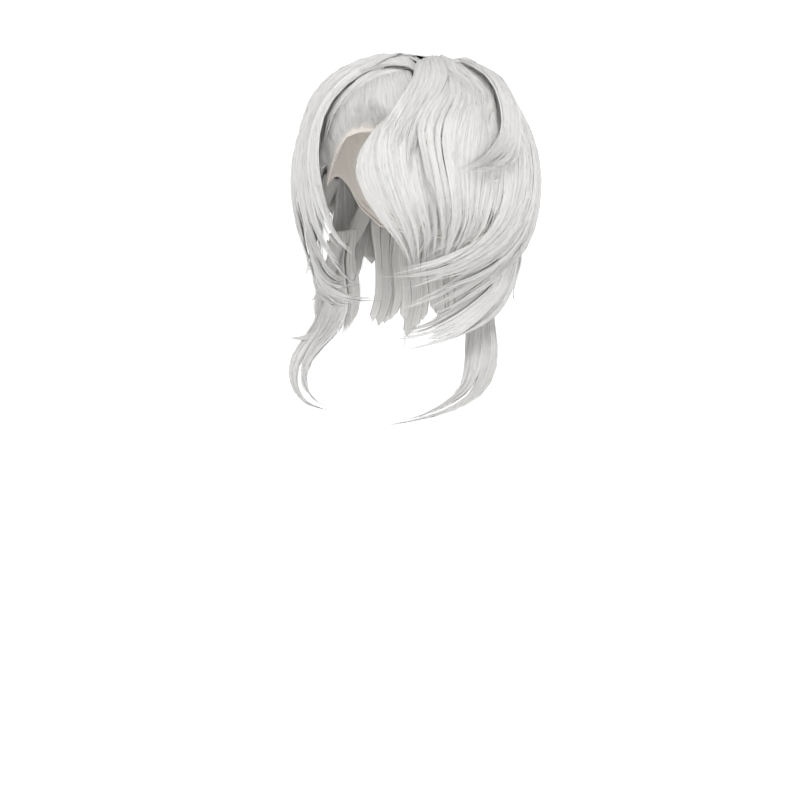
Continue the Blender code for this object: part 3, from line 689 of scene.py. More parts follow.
def lock_table(rng, borders, locks, finer, gather, loose):
    """Rows of (middle, half width, tip, split, reach, height, sway, phase) of the fine locks of a layer."""
    rows = []
    for (split, tip, reach), left, right in zip(locks, borders, borders[1:]):
        middle = (left + right) / 2
        for k in range(finer):
            own = left + (right - left) * (k + 0.5 + rng.uniform(*SHIFTS)) / finer
            half = OVERLAP * (right - left) / finer * rng.uniform(*WIDTHS)
            end = tip + (own - middle) * (1 - gather) * rng.uniform(*SPREADS)
            end = own + (end - own) * (0.3 + 0.7 * gather)
            far = reach * rng.uniform(*REACHES) if k != finer // 2 else reach
            rows.append((own, half, end, split * rng.uniform(*SPLITS), far,
                         rng.uniform(*HEIGHTS) * loose, rng.uniform(*SWAYS) * loose, rng.uniform(*PHASES)))
    return np.array(rows)


def lock_place(table, s, x, height, thickness, dip, run, sink):
    """Across share and height of places x across and height up each lock at the shares s along."""
    middle, half, end, split, reach, lift, sway, phase = (column[:, None] for column in table.T)
    share = np.clip((s - split) / np.maximum(reach - split, 0.02), 0, 1)
    gather = smooth(share)
    wide = (0.8 + 0.2 * smooth(s / 0.15)) * (1 - NARROWS * share ** NARROW_BEND)
    u = middle + (end - middle) * gather + x * half * wide
    u = u + half * SWAY_WIDTH * sway * np.sin(SWAY_WAVES * s + phase) * smooth(s / 0.2)
    ramp = 0.25 + 0.75 * smooth(s / ROOT_RUN)
    fade = 1 - 0.75 * smooth((share - 0.3) / 0.7)
    sunk = dip * (1 - smooth(s / run)) + sink * smooth((s / reach - 0.55) / 0.45)
    return u, thickness * ramp * fade * (lift + height) - sunk


print("layers with looser locks:", len(LOOSE))

# %% [markdown]
# Inside the C of the crown curl the hair lies deeper, which lets the curl stand out. The sheets there are
# pressed in round a short line of places, most at the line and fading away from it.

# %% The hollow inside the curl
HOLLOW = ((84, 0.34, 0.55), (80, 0.44, 0.6), (76, 0.55, 0.62), (72, 0.64, 0.66))
HOLLOW_REACH, HOLLOW_DEPTH = 0.016, 0.007
HOLLOWED = ("fringe_side", "left_upper", "top_side", "cheek_locks")


def hollow(grid):
    """How far each place of the sheet lies in the hollow, from 0 to 1."""
    turn, down, lift = np.array(HOLLOW).T
    middles = on_head(turn, down, lift * LIFT)
    away = np.linalg.norm(grid[:, :, None] - middles, axis=-1).min(axis=-1)
    return np.exp(-(away / HOLLOW_REACH) ** 2)


print("places of the side fringe in the hollow:", int((hollow(flow_sheet(FRINGE_SIDE)) > 0.5).sum()))

# %% [markdown]
# The body of a lock fills it, so that nothing shows through between the strands. A card or a ribbon would do
# that too, but it looks flat from the side. The body is a tube with the section of a lens, and it ends a little
# before the strands on it. It is dark, as painted shade in the gaps between the strands, and painted lighter at
# its crest than on its sides and underside. It is also darker toward the root.

# %% Bodies of the locks
LOCK_ROWS = 20
LOCK_RING = ((-1, 0.0), (-0.55, 0.62), (0, 1.0), (0.55, 0.62), (1, 0.0), (0.5, -0.22), (-0.5, -0.22))
BODY_HEIGHT, BODY_SUNK = 0.42, 0.1
# Painted shade: the body's tone is dark, as the gaps between the strands, and lighter toward its crest.
BODY_SHADE_TONE, CREST_PAINTED_LIGHT, ROOT_TONE = 0.34, 0.2, 0.12
SHADES = 0.07  # how much lighter or darker than the others a lock may be


def lock_bodies(rng, sheet, table, hang, end, long, wide):
    """The tubes of the locks' bodies, and the shade of each lock."""
    s = np.linspace(0, end, LOCK_ROWS)[None] * table[:, 4][:, None]
    shade = rng.uniform(-SHADES, SHADES, len(table))[:, None]
    ring, fibre, tones = [], [], []
    for x, up in LOCK_RING:
        u, high = lock_place(table, s, x, up * BODY_HEIGHT - BODY_SUNK, *hang)
        point, rise = on_sheet(sheet, u, s)
        ring.append(point + rise * high[..., None])
        fibre.append(np.stack([u * wide + 0 * s, s * long], axis=-1))
        # Painted shade and light: a dark body with a lighter crest, and darker toward the root.
        tones.append(BODY_SHADE_TONE + shade + CREST_PAINTED_LIGHT * max(up, 0) + ROOT_TONE * smooth(s / 0.2))
    rings, uv, tone = (np.stack(values, axis=2) for values in (ring, fibre, tones))
    tips = rings[:, -1].mean(axis=1)
    return tubes(rings[:, :-1], tips, uv[:, :-1], uv[:, -1, 2], tone[:, :-1], tone[:, -1, 2]), shade


print("sides of a lock's body:", len(LOCK_RING))

# %% [markdown]
# Strands lie over the lock, drawn together in wisps. A few stray from it, and some lie under it, where the
# inside of the hair shows in the face opening. A particle system would scatter them evenly over a surface.
# Here each one belongs to a lock, keeps its place across it, and ends where the lock ends.

# %% Strands of the locks
STRAND_STEP, FEWEST_ROWS, MOST_ROWS = 0.020, 10, 14
STRAND_RADIUS = 0.00029
EDGE_ROUND = 0.85  # how much less a strand's shading follows the lock at the edges of the lock
INNER = ("back_under", "back_middle", "right_back", "tail_left", "tail_right", "left_lower", "right_low",
         "temple_locks", "neck_bunch")  # layers whose inner side shows
INNER_SHARE, HIDDEN_SHARE = 0.45, 0.06  # share of the strands that lie under the lock
ON_LOCK, UNDER_LOCK = 1.05, 0.72  # how far across the lock they reach, over it and under it
WISPS, WISP_WIDTH = 3, 0.85  # wisps in half a lock
STRAY_SHARE, STRAY_WAVER, STRAY_RISE, STRAY_THIN = 0.03, 4, 0.4, 0.6
STRAND_ENDS, FURTHEST = (0.84, 1.06), 1.03  # length, as a share of the lock's
WAVER, WAVES = 0.13, (4, 11)
ARCH, WISP_ARCH, HEIGHT_CHANCE = 0.44, 0.04, (-0.05, 0.08)
UNDER_HEIGHTS = (-0.5, -0.2)
RADII = (0.75, 1.15)
# The last of these paints the strands under the locks lighter: painted light where the inside of the hair lies
# in shade.
STRAND_TONE, WISP_TONE, TONE_CHANCE, INNER_PAINTED_LIGHT = 0.74, 0.06, (-0.05, 0.05), 0.1


def lock_strands(rng, name, sheet, table, hang, strands, shade, long):
    places = int(np.clip(round(long / STRAND_STEP), FEWEST_ROWS, MOST_ROWS))
    own = rng.choice(len(table), strands, p=table[:, 1] / table[:, 1].sum())
    x = rng.uniform(-ON_LOCK, ON_LOCK, strands)[:, None]
    inside = rng.random((strands, 1)) < (INNER_SHARE if name in INNER else HIDDEN_SHARE)
    x = np.where(inside, x * UNDER_LOCK, x)
    phase = table[own, 7][:, None]
    wisp = np.round(x * WISPS + phase) - phase
    x = wisp / WISPS + (x - wisp / WISPS) * WISP_WIDTH
    streak = np.sin(wisp * 4.1 + own[:, None] * 2.3)
    stray = rng.random(strands)[:, None] < STRAY_SHARE
    rows = table[own].copy()
    rows[:, 4] = np.minimum(rows[:, 4] * rng.uniform(*STRAND_ENDS, strands), FURTHEST)
    s = np.linspace(0, 1, places)[None] * rows[:, 4][:, None]
    waver = WAVER * np.sin(rng.uniform(*WAVES, (strands, 1)) * s + rng.uniform(*PHASES, (strands, 1)))
    waver = waver * (0.4 + smooth(s)) * np.where(stray, STRAY_WAVER, 1)
    up = ARCH * (1 - x ** 2) + WISP_ARCH * streak + rng.uniform(*HEIGHT_CHANCE, (strands, 1))
    up = up + np.where(stray, STRAY_RISE, 0) * smooth(s / 0.4)
    up = np.where(inside, rng.uniform(*UNDER_HEIGHTS, (strands, 1)) - rows[:, 5][:, None] * 0.8, up)
    u, high = lock_place(rows, s, x + waver, up, *hang)
    point, rise = on_sheet(sheet, u, s)
    point = point + rise * high[..., None]
    radii = STRAND_RADIUS * rng.uniform(*RADII, (strands, 1)) * (0.6 + 0.4 * smooth(s / 0.1))
    radii = radii * np.where(stray, STRAY_THIN, 1)
    radii = radii * (1 - 0.75 * smooth((s / rows[:, 4][:, None] - 0.6) / 0.4))
    tone = STRAND_TONE + WISP_TONE * streak + rng.uniform(*TONE_CHANCE, (strands, 1)) + shade[own]
    # Painted shade: strands that lie lower in the lock are darker. Painted light: strands under the lock are
    # lighter.
    tone = tone + 0.14 * (up - 0.3) + 0.10 * smooth(s / 0.2) + INNER_PAINTED_LIGHT * inside
    fibre = np.stack([np.repeat(rng.uniform(0, 5, (strands, 1)), places, axis=1), s * long], axis=-1)
    seen = np.where(inside, -1, 1 - EDGE_ROUND * np.abs(x) ** 3)[..., None]
    return strands_along(point, rise, radii, fibre, tone, seen)


print("a strand is %.2f mm thick at most" % (2000 * STRAND_RADIUS * RADII[1]))

# %% [markdown]
# One function now lays a whole layer: it rests the sheet, raises or presses it where that is asked, and puts
# the locks and their strands on it. Each layer has a seed of its own, so that a change to one leaves the rest
# alone.

# %% Laying a layer
LOCK_END = 0.88  # share of a lock's reach where its body ends and only strands go on
FEATHERY, FEATHERY_END = 0.5, 0.76  # a layer thinner than this has soft, feathery ends
ROOT_DIP = (0.0015, 0.12)  # how deep the roots lie, and over what share of the lock


def lay(name, flows, thickness, borders, locks, finer, gather, strands, seed, dip=ROOT_DIP, below=None,
        proud=(0, 0), sink=0):
    """A layer of hair on its solid, or on top of the solids below it. Gives the piece and its triangles."""
    rng = np.random.default_rng(seed)
    grid = rest(flow_sheet(flows), below or [name], on_top=below is not None)
    rise = np.linspace(proud[0], proud[1], ACROSS)[:, None] * smooth((np.linspace(0, 1, ALONG) - 0.12) / 0.3)
    if name in HOLLOWED:
        rise = rise - HOLLOW_DEPTH * hollow(grid)
    grid = grid + outward(grid) * rise[..., None]
    sheet = (grid, facing(grid))
    long = np.linalg.norm(np.diff(grid, axis=1), axis=-1).sum(axis=1).mean()
    wide = np.linalg.norm(np.diff(grid, axis=0), axis=-1).sum(axis=0).max()
    hang = (LOCK_THICKNESS * thickness, *dip, sink)
    end = FEATHERY_END if thickness < FEATHERY else LOCK_END
    table = lock_table(rng, borders, locks, finer, gather, LOOSE.get(name, 1))
    bodies, shade = lock_bodies(rng, sheet, table, hang, end, long, wide)
    fine = lock_strands(rng, name, sheet, table, hang, strands, shade, long)
    piece = hair_piece(name + "_hair", [bodies, fine])
    triangles = len(bodies[1]) + len(fine[1])
    print(piece.name, "%.0f mm long," % (1000 * long), len(table), "locks,", triangles, "triangles")
    return piece, triangles


# %% [markdown]
# The locks of each layer are the locks of its solid: (where they part, where their tips lie across, how far
# they reach), between the borders where they meet. Then come how many fine locks each one parts into, how far
# these gather, and the strands. The thickness counts in lock thicknesses.

# %% Every layer
LAYERS = {
    "right_roots": (
        RIGHT_ROOTS, 0.5, (0, 0.22, 0.48, 0.75, 1),
        ((0.85, 0.12, 1.0), (0.85, 0.36, 0.96), (0.85, 0.62, 1.0), (0.85, 0.88, 0.94)), 4, 0.2, 500),
    "back_under": (
        back_flows(BACK_UNDER, UNDER_TURNS), 0.8, (0, 0.2, 0.4, 0.6, 0.8, 1),
        ((0.7, 0.08, 0.92), (0.65, 0.30, 1.0), (0.7, 0.51, 0.94), (0.65, 0.70, 1.0), (0.7, 0.92, 0.92)),
        4, 0.5, 280),
    "tail_right": (TAIL_RIGHT, 1.0, (0, 0.5, 1), ((0.5, 0.30, 1.0), (0.5, 0.72, 0.94)), 4, 0.8, 350),
    "tail_left": (TAIL_LEFT, 1.0, (0, 0.5, 1), ((0.55, 0.30, 1.0), (0.55, 0.72, 0.92)), 4, 0.8, 350),
    "back_middle": (
        back_flows(BACK_MIDDLE, MIDDLE_TURNS), 0.9, (0, 0.17, 0.33, 0.5, 0.67, 0.83, 1),
        ((0.65, 0.07, 0.95), (0.7, 0.27, 1.0), (0.65, 0.42, 0.93), (0.7, 0.60, 1.0), (0.65, 0.73, 0.95),
         (0.7, 0.93, 1.0)), 4, 0.6, 420),
    "left_lower": (
        LEFT_LOWER, 0.9, (0, 0.34, 0.68, 1),
        ((0.62, 0.12, 1.0), (0.6, 0.46, 0.95), (0.6, 0.88, 0.90)), 4, 0.45, 430),
    "right_low": (
        RIGHT_LOW, 0.8, (0, 0.3, 0.65, 1),
        ((0.65, 0.10, 1.0), (0.62, 0.47, 1.0), (0.62, 0.88, 0.95)), 4, 0.6, 450),
    "left_middle": (
        LEFT_MIDDLE, 0.9, (0, 0.34, 0.68, 1),
        ((0.65, 0.12, 1.0), (0.6, 0.48, 0.95), (0.6, 0.86, 0.92)), 4, 0.45, 380),
    "right_back": (
        RIGHT_BACK, 0.9, (0, 0.2, 0.4, 0.6, 0.8, 1),
        ((0.72, 0.10, 0.96), (0.72, 0.28, 1.0), (0.7, 0.52, 0.95), (0.75, 0.72, 1.0), (0.7, 0.92, 0.95)),
        4, 0.6, 600),
    "back_crown": (
        back_flows(BACK_CROWN, CROWN_TURNS), 1.0, (0, 0.2, 0.4, 0.6, 0.8, 1),
        ((0.7, 0.06, 0.94), (0.65, 0.33, 1.0), (0.7, 0.48, 0.93), (0.65, 0.72, 1.0), (0.7, 0.95, 0.95)),
        5, 0.6, 780),
    "left_upper": (
        LEFT_UPPER, 1.0, (0, 0.2, 0.4, 0.6, 0.8, 1),
        ((0.7, 0.07, 0.97), (0.72, 0.31, 1.0), (0.72, 0.51, 0.95), (0.72, 0.72, 1.0), (0.72, 0.94, 0.96)),
        5, 0.45, 1250),
    "fringe": (
        FRINGE, 0.8, (0, 0.2, 0.4, 0.6, 0.8, 1),
        ((0.86, 0.16, 1.0), (0.88, 0.34, 0.98), (0.86, 0.50, 1.0), (0.88, 0.66, 0.98), (0.86, 0.84, 1.0)),
        4, 0.45, 1250),
    "fringe_side": (
        FRINGE_SIDE, 0.9, (0, 0.25, 0.5, 0.75, 1),
        ((0.86, 0.12, 0.98), (0.88, 0.38, 1.0), (0.86, 0.62, 0.98), (0.88, 0.88, 1.0)), 5, 0.25, 1150),
    "crown_curl": (CROWN_CURL, 1.0, (0, 0.5, 1), ((0.86, 0.35, 1.0), (0.86, 0.65, 0.97)), 3, 0.9, 420),
    "right_curtain": (
        RIGHT_CURTAIN, 1.0, (0, 0.3, 0.65, 1),
        ((0.72, 0.06, 1.0), (0.75, 0.52, 0.97), (0.7, 0.96, 1.0)), 5, 0.5, 1100),
}
DEEP_ROOTS = {"right_curtain": (0.005, 0.12), "crown_curl": (0.005, 0.45), "fringe": (0.003, 0.12),
              "fringe_side": (0.006, 0.12)}
PROUD = {"crown_curl": (0.005, 0.001), "left_upper": (0.005, -0.004), "back_crown": (-0.004, 0)}
triangles = 0
for number, (name, layer) in enumerate(LAYERS.items()):
    piece, faces = lay(name, *layer, seed=100 + number, dip=DEEP_ROOTS.get(name, ROOT_DIP),
                       proud=PROUD.get(name, (0, 0)))
    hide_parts(name)
    triangles += faces
print("hair so far:", triangles, "triangles")

# %% [markdown]
# Between the layers lie shorter locks that have no solid of their own. On top, the hair in front of the whorl
# and beside the parting is swept to the fringe and to the right, and the whorl itself covers the roots. Its
# lines are one line swung round the crown.

# %% Locks on top of the head
TOP_FRONT = (
    ((150, 0.12, 0.30), (44, 0.04, 0.38), (30, 0.16, 0.38), (26, 0.33, 0.32), (20, 0.47, 0.26),
     (16, 0.56, 0.22), (10, 0.65, 0.18), (3, 0.76, 0.25), (1, 0.88, 0.34)),
    ((160, 0.16, 0.32), (70, 0.04, 0.41), (44, 0.14, 0.42), (36, 0.30, 0.40), (30, 0.44, 0.37),
     (23, 0.56, 0.37), (17, 0.68, 0.38), (15, 0.84, 0.42), (17, 1.00, 0.46)),
    ((165, 0.22, 0.34), (90, 0.06, 0.43), (68, 0.12, 0.45), (60, 0.24, 0.47), (54, 0.37, 0.47),
     (44, 0.49, 0.50), (35, 0.60, 0.50), (30, 0.72, 0.52), (28, 0.88, 0.53), (30, 1.06, 0.55)),
)
TOP_SIDE = (
    ((165, 0.22, 0.38), (90, 0.08, 0.42), (62, 0.16, 0.40), (56, 0.30, 0.38), (50, 0.42, 0.40),
     (42, 0.54, 0.42), (34, 0.66, 0.46), (32, 0.82, 0.50)),
    ((150, 0.26, 0.46), (110, 0.14, 0.52), (88, 0.20, 0.51), (76, 0.34, 0.51), (66, 0.46, 0.53),
     (56, 0.58, 0.56), (46, 0.70, 0.60), (42, 0.86, 0.64)),
    ((140, 0.30, 0.46), (120, 0.24, 0.52), (104, 0.26, 0.53), (92, 0.38, 0.55), (84, 0.52, 0.58),
     (74, 0.64, 0.64), (62, 0.76, 0.68), (54, 0.90, 0.70)),
)
WHORL_STEPS = ((0, 0.015, 0.44), (16, 0.10, 0.44), (26, 0.24, 0.48), (32, 0.46, 0.58))  # swing, down, lift


def whorl_line(turn):
    """One flow line of the whorl, short at the front, where the long locks cover it."""
    reach = 0.20 + 0.80 * smooth(abs((turn + 180) % 360 - 180) / 110)
    return tuple((turn + swing, down * reach, lift) for swing, down, lift in WHORL_STEPS)


WHORL = tuple(whorl_line(turn) for turn in range(60, 301, 20))
PARTING = (
    ((66, 0.08, 0.26), (0, 0.12, 0.32), (-34, 0.20, 0.36), (-50, 0.32, 0.38), (-53, 0.46, 0.38),
     (-50, 0.62, 0.36), (-46, 0.78, 0.28)),
    ((58, 0.12, 0.20), (6, 0.17, 0.24), (-26, 0.25, 0.24), (-43, 0.37, 0.22), (-49, 0.50, 0.20),
     (-48, 0.64, 0.18), (-45, 0.80, 0.12)),
)
CROWN_SIDE = (
    ((110, 0.08, 0.34), (-10, 0.03, 0.41), (-54, 0.10, 0.43), (-67, 0.22, 0.46), (-70, 0.38, 0.54),
     (-69, 0.56, 0.58)),
    ((145, 0.10, 0.34), (-110, 0.02, 0.43), (-84, 0.12, 0.45), (-82, 0.26, 0.50), (-82, 0.42, 0.58),
     (-80, 0.60, 0.62)),
    ((170, 0.14, 0.34), (-150, 0.05, 0.43), (-112, 0.15, 0.46), (-104, 0.28, 0.52), (-100, 0.44, 0.62),
     (-98, 0.62, 0.68)),
)
print("on top:", len(TOP_FRONT + TOP_SIDE + WHORL + PARTING + CROWN_SIDE), "flow lines")

# %% [markdown]
# Beside the face, locks under the fringe darken its foot, a second small curl lies below the crown curl, the
# ends at cheek and neck are feathered, and short locks at the temple close the view to the cap.

# %% Locks beside the face
CHEEK = (
    ((104, 0.50, 0.45), (90, 0.68, 0.52), (84, 0.80, 0.52), (78, 0.99, 0.50), (68, 1.28, 0.53),
     (56, 1.50, 0.54), (44, 1.63, 0.45), (34, 1.70, 0.20)),
    ((80, 0.55, 0.30), (60, 0.78, 0.34), (52, 0.99, 0.36), (46, 1.20, 0.38), (42, 1.38, 0.42),
     (37, 1.54, 0.40), (31, 1.70, 0.25)),
    ((56, 0.50, 0.26), (40, 0.74, 0.28), (32, 0.96, 0.30), (28, 1.16, 0.33), (28, 1.34, 0.36),
     (28, 1.50, 0.38), (28, 1.66, 0.36)),
)
SECOND_CURL = (
    ((112, 0.40, 0.60), (104, 0.55, 0.60), (92, 0.70, 0.60), (84, 0.82, 0.60), (76, 0.89, 0.56),
     (68, 0.91, 0.54), (58, 0.90, 0.52)),
    ((118, 0.48, 0.60), (108, 0.64, 0.60), (100, 0.76, 0.60), (90, 0.88, 0.62), (80, 0.95, 0.60),
     (68, 0.98, 0.60), (57, 0.97, 0.58)),
)
TEMPLE = (
    ((-38, 0.80, 0.08), (-48, 0.96, 0.16), (-52, 1.20, 0.22), (-50, 1.42, 0.26), (-44, 1.60, 0.28)),
    ((-58, 0.70, 0.10), (-65, 0.94, 0.22), (-68, 1.20, 0.30), (-66, 1.50, 0.34), (-60, 1.76, 0.34)),
    ((-82, 0.66, 0.16), (-84, 0.94, 0.32), (-84, 1.25, 0.42), (-81, 1.60, 0.44), (-76, 1.90, 0.40)),
)
CHEEK_FEATHER = (
    ((86, 0.95, 0.68), (80, 1.15, 0.70), (68, 1.36, 0.72), (54, 1.52, 0.70), (41, 1.63, 0.64),
     (29, 1.70, 0.56), (19, 1.74, 0.50)),
    ((92, 1.05, 0.72), (86, 1.28, 0.76), (75, 1.52, 0.76), (60, 1.70, 0.72), (45, 1.82, 0.66),
     (33, 1.91, 0.60), (23, 1.97, 0.56)),
)
NECK_FEATHER = (
    ((98, 1.60, 0.70), (90, 1.86, 0.72), (75, 2.04, 0.68), (57, 2.20, 0.66), (41, 2.31, 0.66),
     (28, 2.36, 0.66), (16, 2.36, 0.66)),
    ((108, 1.72, 0.86), (98, 1.98, 0.84), (80, 2.18, 0.76), (62, 2.36, 0.70), (46, 2.47, 0.66),
     (32, 2.53, 0.66), (20, 2.55, 0.66)),
)
print("beside the face:", len(CHEEK + SECOND_CURL + TEMPLE + CHEEK_FEATHER + NECK_FEATHER), "flow lines")

# %% [markdown]
# A bunch of locks hides the root of the right tail, and a flick stands off the tail. Single locks break the
# outline in a few places. One of them is a single flow line, made a few degrees wide.

# %% Neck, tail and single locks
SINGLE_WIDE = 3.5  # degrees of turn across a single lock
NECK_BUNCH = (
    ((-80, 1.60, 0.30), (-76, 1.87, 0.34), (-74, 2.10, 0.52), (-76, 2.31, 0.59), (-78, 2.54, 0.52),
     (-79, 2.72, 0.30)),
    ((-104, 1.58, 0.12), (-101, 1.84, 0.12), (-102, 2.04, 0.06), (-103, 2.28, 0.06), (-100, 2.50, 0.06),
     (-90, 2.70, 0.12)),
)
TAIL_FLICK = (
    ((-80, 2.28, 0.42), (-74, 2.49, 0.46), (-69, 2.60, 0.58), (-64, 2.63, 0.79), (-60, 2.62, 1.08)),
    ((-72, 2.38, 0.26), (-68, 2.54, 0.34), (-65, 2.63, 0.50), (-62, 2.67, 0.72), (-60, 2.65, 0.95)),
)
SINGLES = {
    "left_flick_a": (
        (-74, 1.25, 0.74), (-70, 1.51, 0.72), (-66, 1.75, 0.64), (-62, 1.90, 0.55), (-60, 2.01, 0.74)),
    "left_flick_b": (
        (-64, 1.70, 0.56), (-60, 1.93, 0.55), (-58, 2.13, 0.46), (-56, 2.22, 0.53), (-55, 2.23, 0.67)),
    "right_flick": (
        (116, 1.60, 0.90), (112, 1.84, 0.90), (108, 2.03, 0.90), (106, 2.10, 0.92), (105, 2.15, 1.04)),
    "brow_wisp": (
        (-38, 1.00, 0.34), (-34, 1.18, 0.27), (-26, 1.40, 0.27), (-20, 1.54, 0.26), (-12, 1.61, 0.13)),
    "cheek_wisp": (
        (-36, 1.60, 0.34), (-30, 1.78, 0.24), (-24, 1.90, 0.14), (-18, 1.95, 0.07), (-14, 1.84, 0.02)),
}


def single(line):
    return tuple(tuple((turn + side, down, lift) for turn, down, lift in line)
                 for side in (-SINGLE_WIDE / 2, SINGLE_WIDE / 2))


print("single locks:", len(SINGLES))

# %% [markdown]
# These locks rest on top of other layers, which the last entry of each row names, and on the cap where it
# names none. Their roots dip deeper than a layer's do, so that no root ends in the open, and some tips sink
# in too.

# %% Lay the locks between
ALL_HAIR = [name for name in frame["nodes"] if name != "wig_cap"]
TOP_SOLIDS = ["fringe", "fringe_side", "right_roots", "back_crown", "left_upper"]
THIRDS = (0, 0.33, 0.66, 1)
FULL_ENDS = ((0.7, 0.2, 1.0), (0.7, 0.5, 0.95), (0.7, 0.8, 1.0))
FEATHER_ENDS = ((0.45, 0.2, 1.0), (0.5, 0.55, 0.86), (0.45, 0.9, 0.94))
WHORL_LOCKS = 12
BETWEEN = {
    "top_side": (TOP_SIDE, 0.8, THIRDS, FULL_ENDS, 4, 0.2, 520, TOP_SOLIDS),
    "top_front": (TOP_FRONT, 0.9, THIRDS, FULL_ENDS, 4, 0.2, 620, TOP_SOLIDS),
    "crown_whorl": (
        WHORL, 0.25, tuple(k / WHORL_LOCKS for k in range(WHORL_LOCKS + 1)),
        tuple((0.45, (k + 0.7) / WHORL_LOCKS, 0.9 + 0.1 * (k % 2)) for k in range(WHORL_LOCKS)),
        3, 0.3, 300, ALL_HAIR),
    "parting_locks": (PARTING, 0.4, (0, 0.5, 1), ((0.7, 0.2, 1.0), (0.6, 0.7, 0.95)), 3, 0.3, 200, None),
    "cheek_locks": (
        CHEEK, 0.7, THIRDS, ((0.75, 0.2, 1.0), (0.75, 0.5, 0.95), (0.75, 0.8, 1.0)), 4, 0.2, 420, None),
    "second_curl": (SECOND_CURL, 0.6, (0, 1), ((0.6, 0.5, 1.0),), 5, 0.5, 200, ["fringe_side", "left_upper"]),
    "tail_flick": (TAIL_FLICK, 0.5, (0, 1), ((0.4, 0.4, 1.0),), 4, 0.7, 120, None),
    "neck_bunch": (
        NECK_BUNCH, 0.7, THIRDS, ((0.8, 0.25, 1.0), (0.75, 0.5, 0.92), (0.8, 0.75, 1.0)), 3, 0.3, 220, None),
    "cheek_feather": (
        CHEEK_FEATHER, 0.4, THIRDS, FEATHER_ENDS, 4, 0.3, 260, ["left_upper", "fringe_side"]),
    "neck_feather": (
        NECK_FEATHER, 0.4, THIRDS, FEATHER_ENDS, 4, 0.3, 240, ["left_lower", "left_middle"]),
    "crown_side": (
        CROWN_SIDE, 0.6, THIRDS, FULL_ENDS, 4, 0.2, 260, ["right_back", "back_crown", "right_curtain"]),
    "temple_locks": (
        TEMPLE, 0.5, THIRDS, ((0.7, 0.2, 0.94), (0.7, 0.5, 1.0), (0.7, 0.8, 0.96)), 4, 0.4, 300, None),
}
for name, line in SINGLES.items():
    BETWEEN[name] = (single(line), 0.3, (0, 1), ((0.4, 0.5, 1.0),), 3, 0.8, 45, None)
DIP, DIP_RUN = 0.005, 0.3
OVER_DIP = {"top_front": 0.011, "top_side": 0.004, "crown_whorl": 0.0}
OVER_PROUD = {"top_front": (0.0, 0.006), "top_side": (-0.004, 0)}
OVER_SINK = {"crown_side": 0.006, "top_front": 0.007, "top_side": 0.007, "crown_whorl": 0.004,
             "second_curl": 0.002, "parting_locks": 0.003}
for number, (name, layer) in enumerate(BETWEEN.items()):
    triangles += lay(name, *layer[:-1], seed=300 + number, dip=(OVER_DIP.get(name, DIP), DIP_RUN),
                     below=layer[-1] or ["wig_cap"], proud=OVER_PROUD.get(name, (0, 0)),
                     sink=OVER_SINK.get(name, 0))[1]
print("hair in all:", triangles, "triangles")

# %% [markdown]
# The cap is stretch net in beige, and the lace at the hairline is finer and almost the colour of skin. Real
# holes by the thousand would be far too heavy. The net is drawn instead: the edges between cells on a turned
# map are its threads, light and raised, and the cells between them are deeper in colour.

# %% Finish of the net and the lace
NET_LIGHT, NET_DEEP, NET_CELLS = (0.88, 0.85, 0.81), (0.72, 0.67, 0.61), 620
LACE_LIGHT, LACE_DEEP, LACE_CELLS = (0.86, 0.82, 0.77), (0.68, 0.61, 0.54), 1100
CLOTH_ROUGHNESS, CLOTH_SHEEN = 0.75, {"Sheen Weight": 0.3}
HOLES = {"From Min": 0.05, "From Max": 0.22}
CELL_CHANCE = 0.15  # how uneven the cells are
NET_RELIEF, NET_DEPTH = 0.6, 0.0004


def net_material(name, light_colour, deep_colour, cells):
    """A net of fine threads, with this many cells to the metre."""
    made, shader = plain_material(name, light_colour, CLOTH_ROUGHNESS, CLOTH_SHEEN)
    tree = made.node_tree
    place = node(tree, "ShaderNodeUVMap", uv_map="net")
    spread = node(tree, "ShaderNodeMapping",
                  {"Rotation": (0, 0, math.radians(45)), "Scale": (cells, cells, 1)})
    threads = node(tree, "ShaderNodeTexVoronoi", {"Scale": 1, "Randomness": CELL_CHANCE},
                   feature="DISTANCE_TO_EDGE", voronoi_dimensions="2D")
    hole = node(tree, "ShaderNodeMapRange", HOLES)
    link(tree, place, "UV", spread, "Vector")
    link(tree, spread, "Vector", threads, "Vector")
    link(tree, threads, "Distance", hole, "Value")
    tint(tree, shader, hole, "Result", light_colour, deep_colour)
    relief(tree, shader, hole, "Result", NET_RELIEF, NET_DEPTH, invert=True)
    return made


stretch_net = net_material("stretch_net", NET_LIGHT, NET_DEEP, NET_CELLS)
fine_lace = net_material("fine_lace", LACE_LIGHT, LACE_DEEP, LACE_CELLS)
print("finishes:", stretch_net.name, fine_lace.name)

# %% [markdown]
# The cap and the lace keep the shapes of their solids, so each is a copy of its solid and no new model. A
# solid is loose triangles: its doubles are merged, its triangles joined to quads, and a Subdivision Surface
# modifier rounds it. The map for the net unrolls it round the head.

# %% Cap and lace
MERGE_WITHIN = 0.00002
ROUNDING = 2  # levels of subdivision


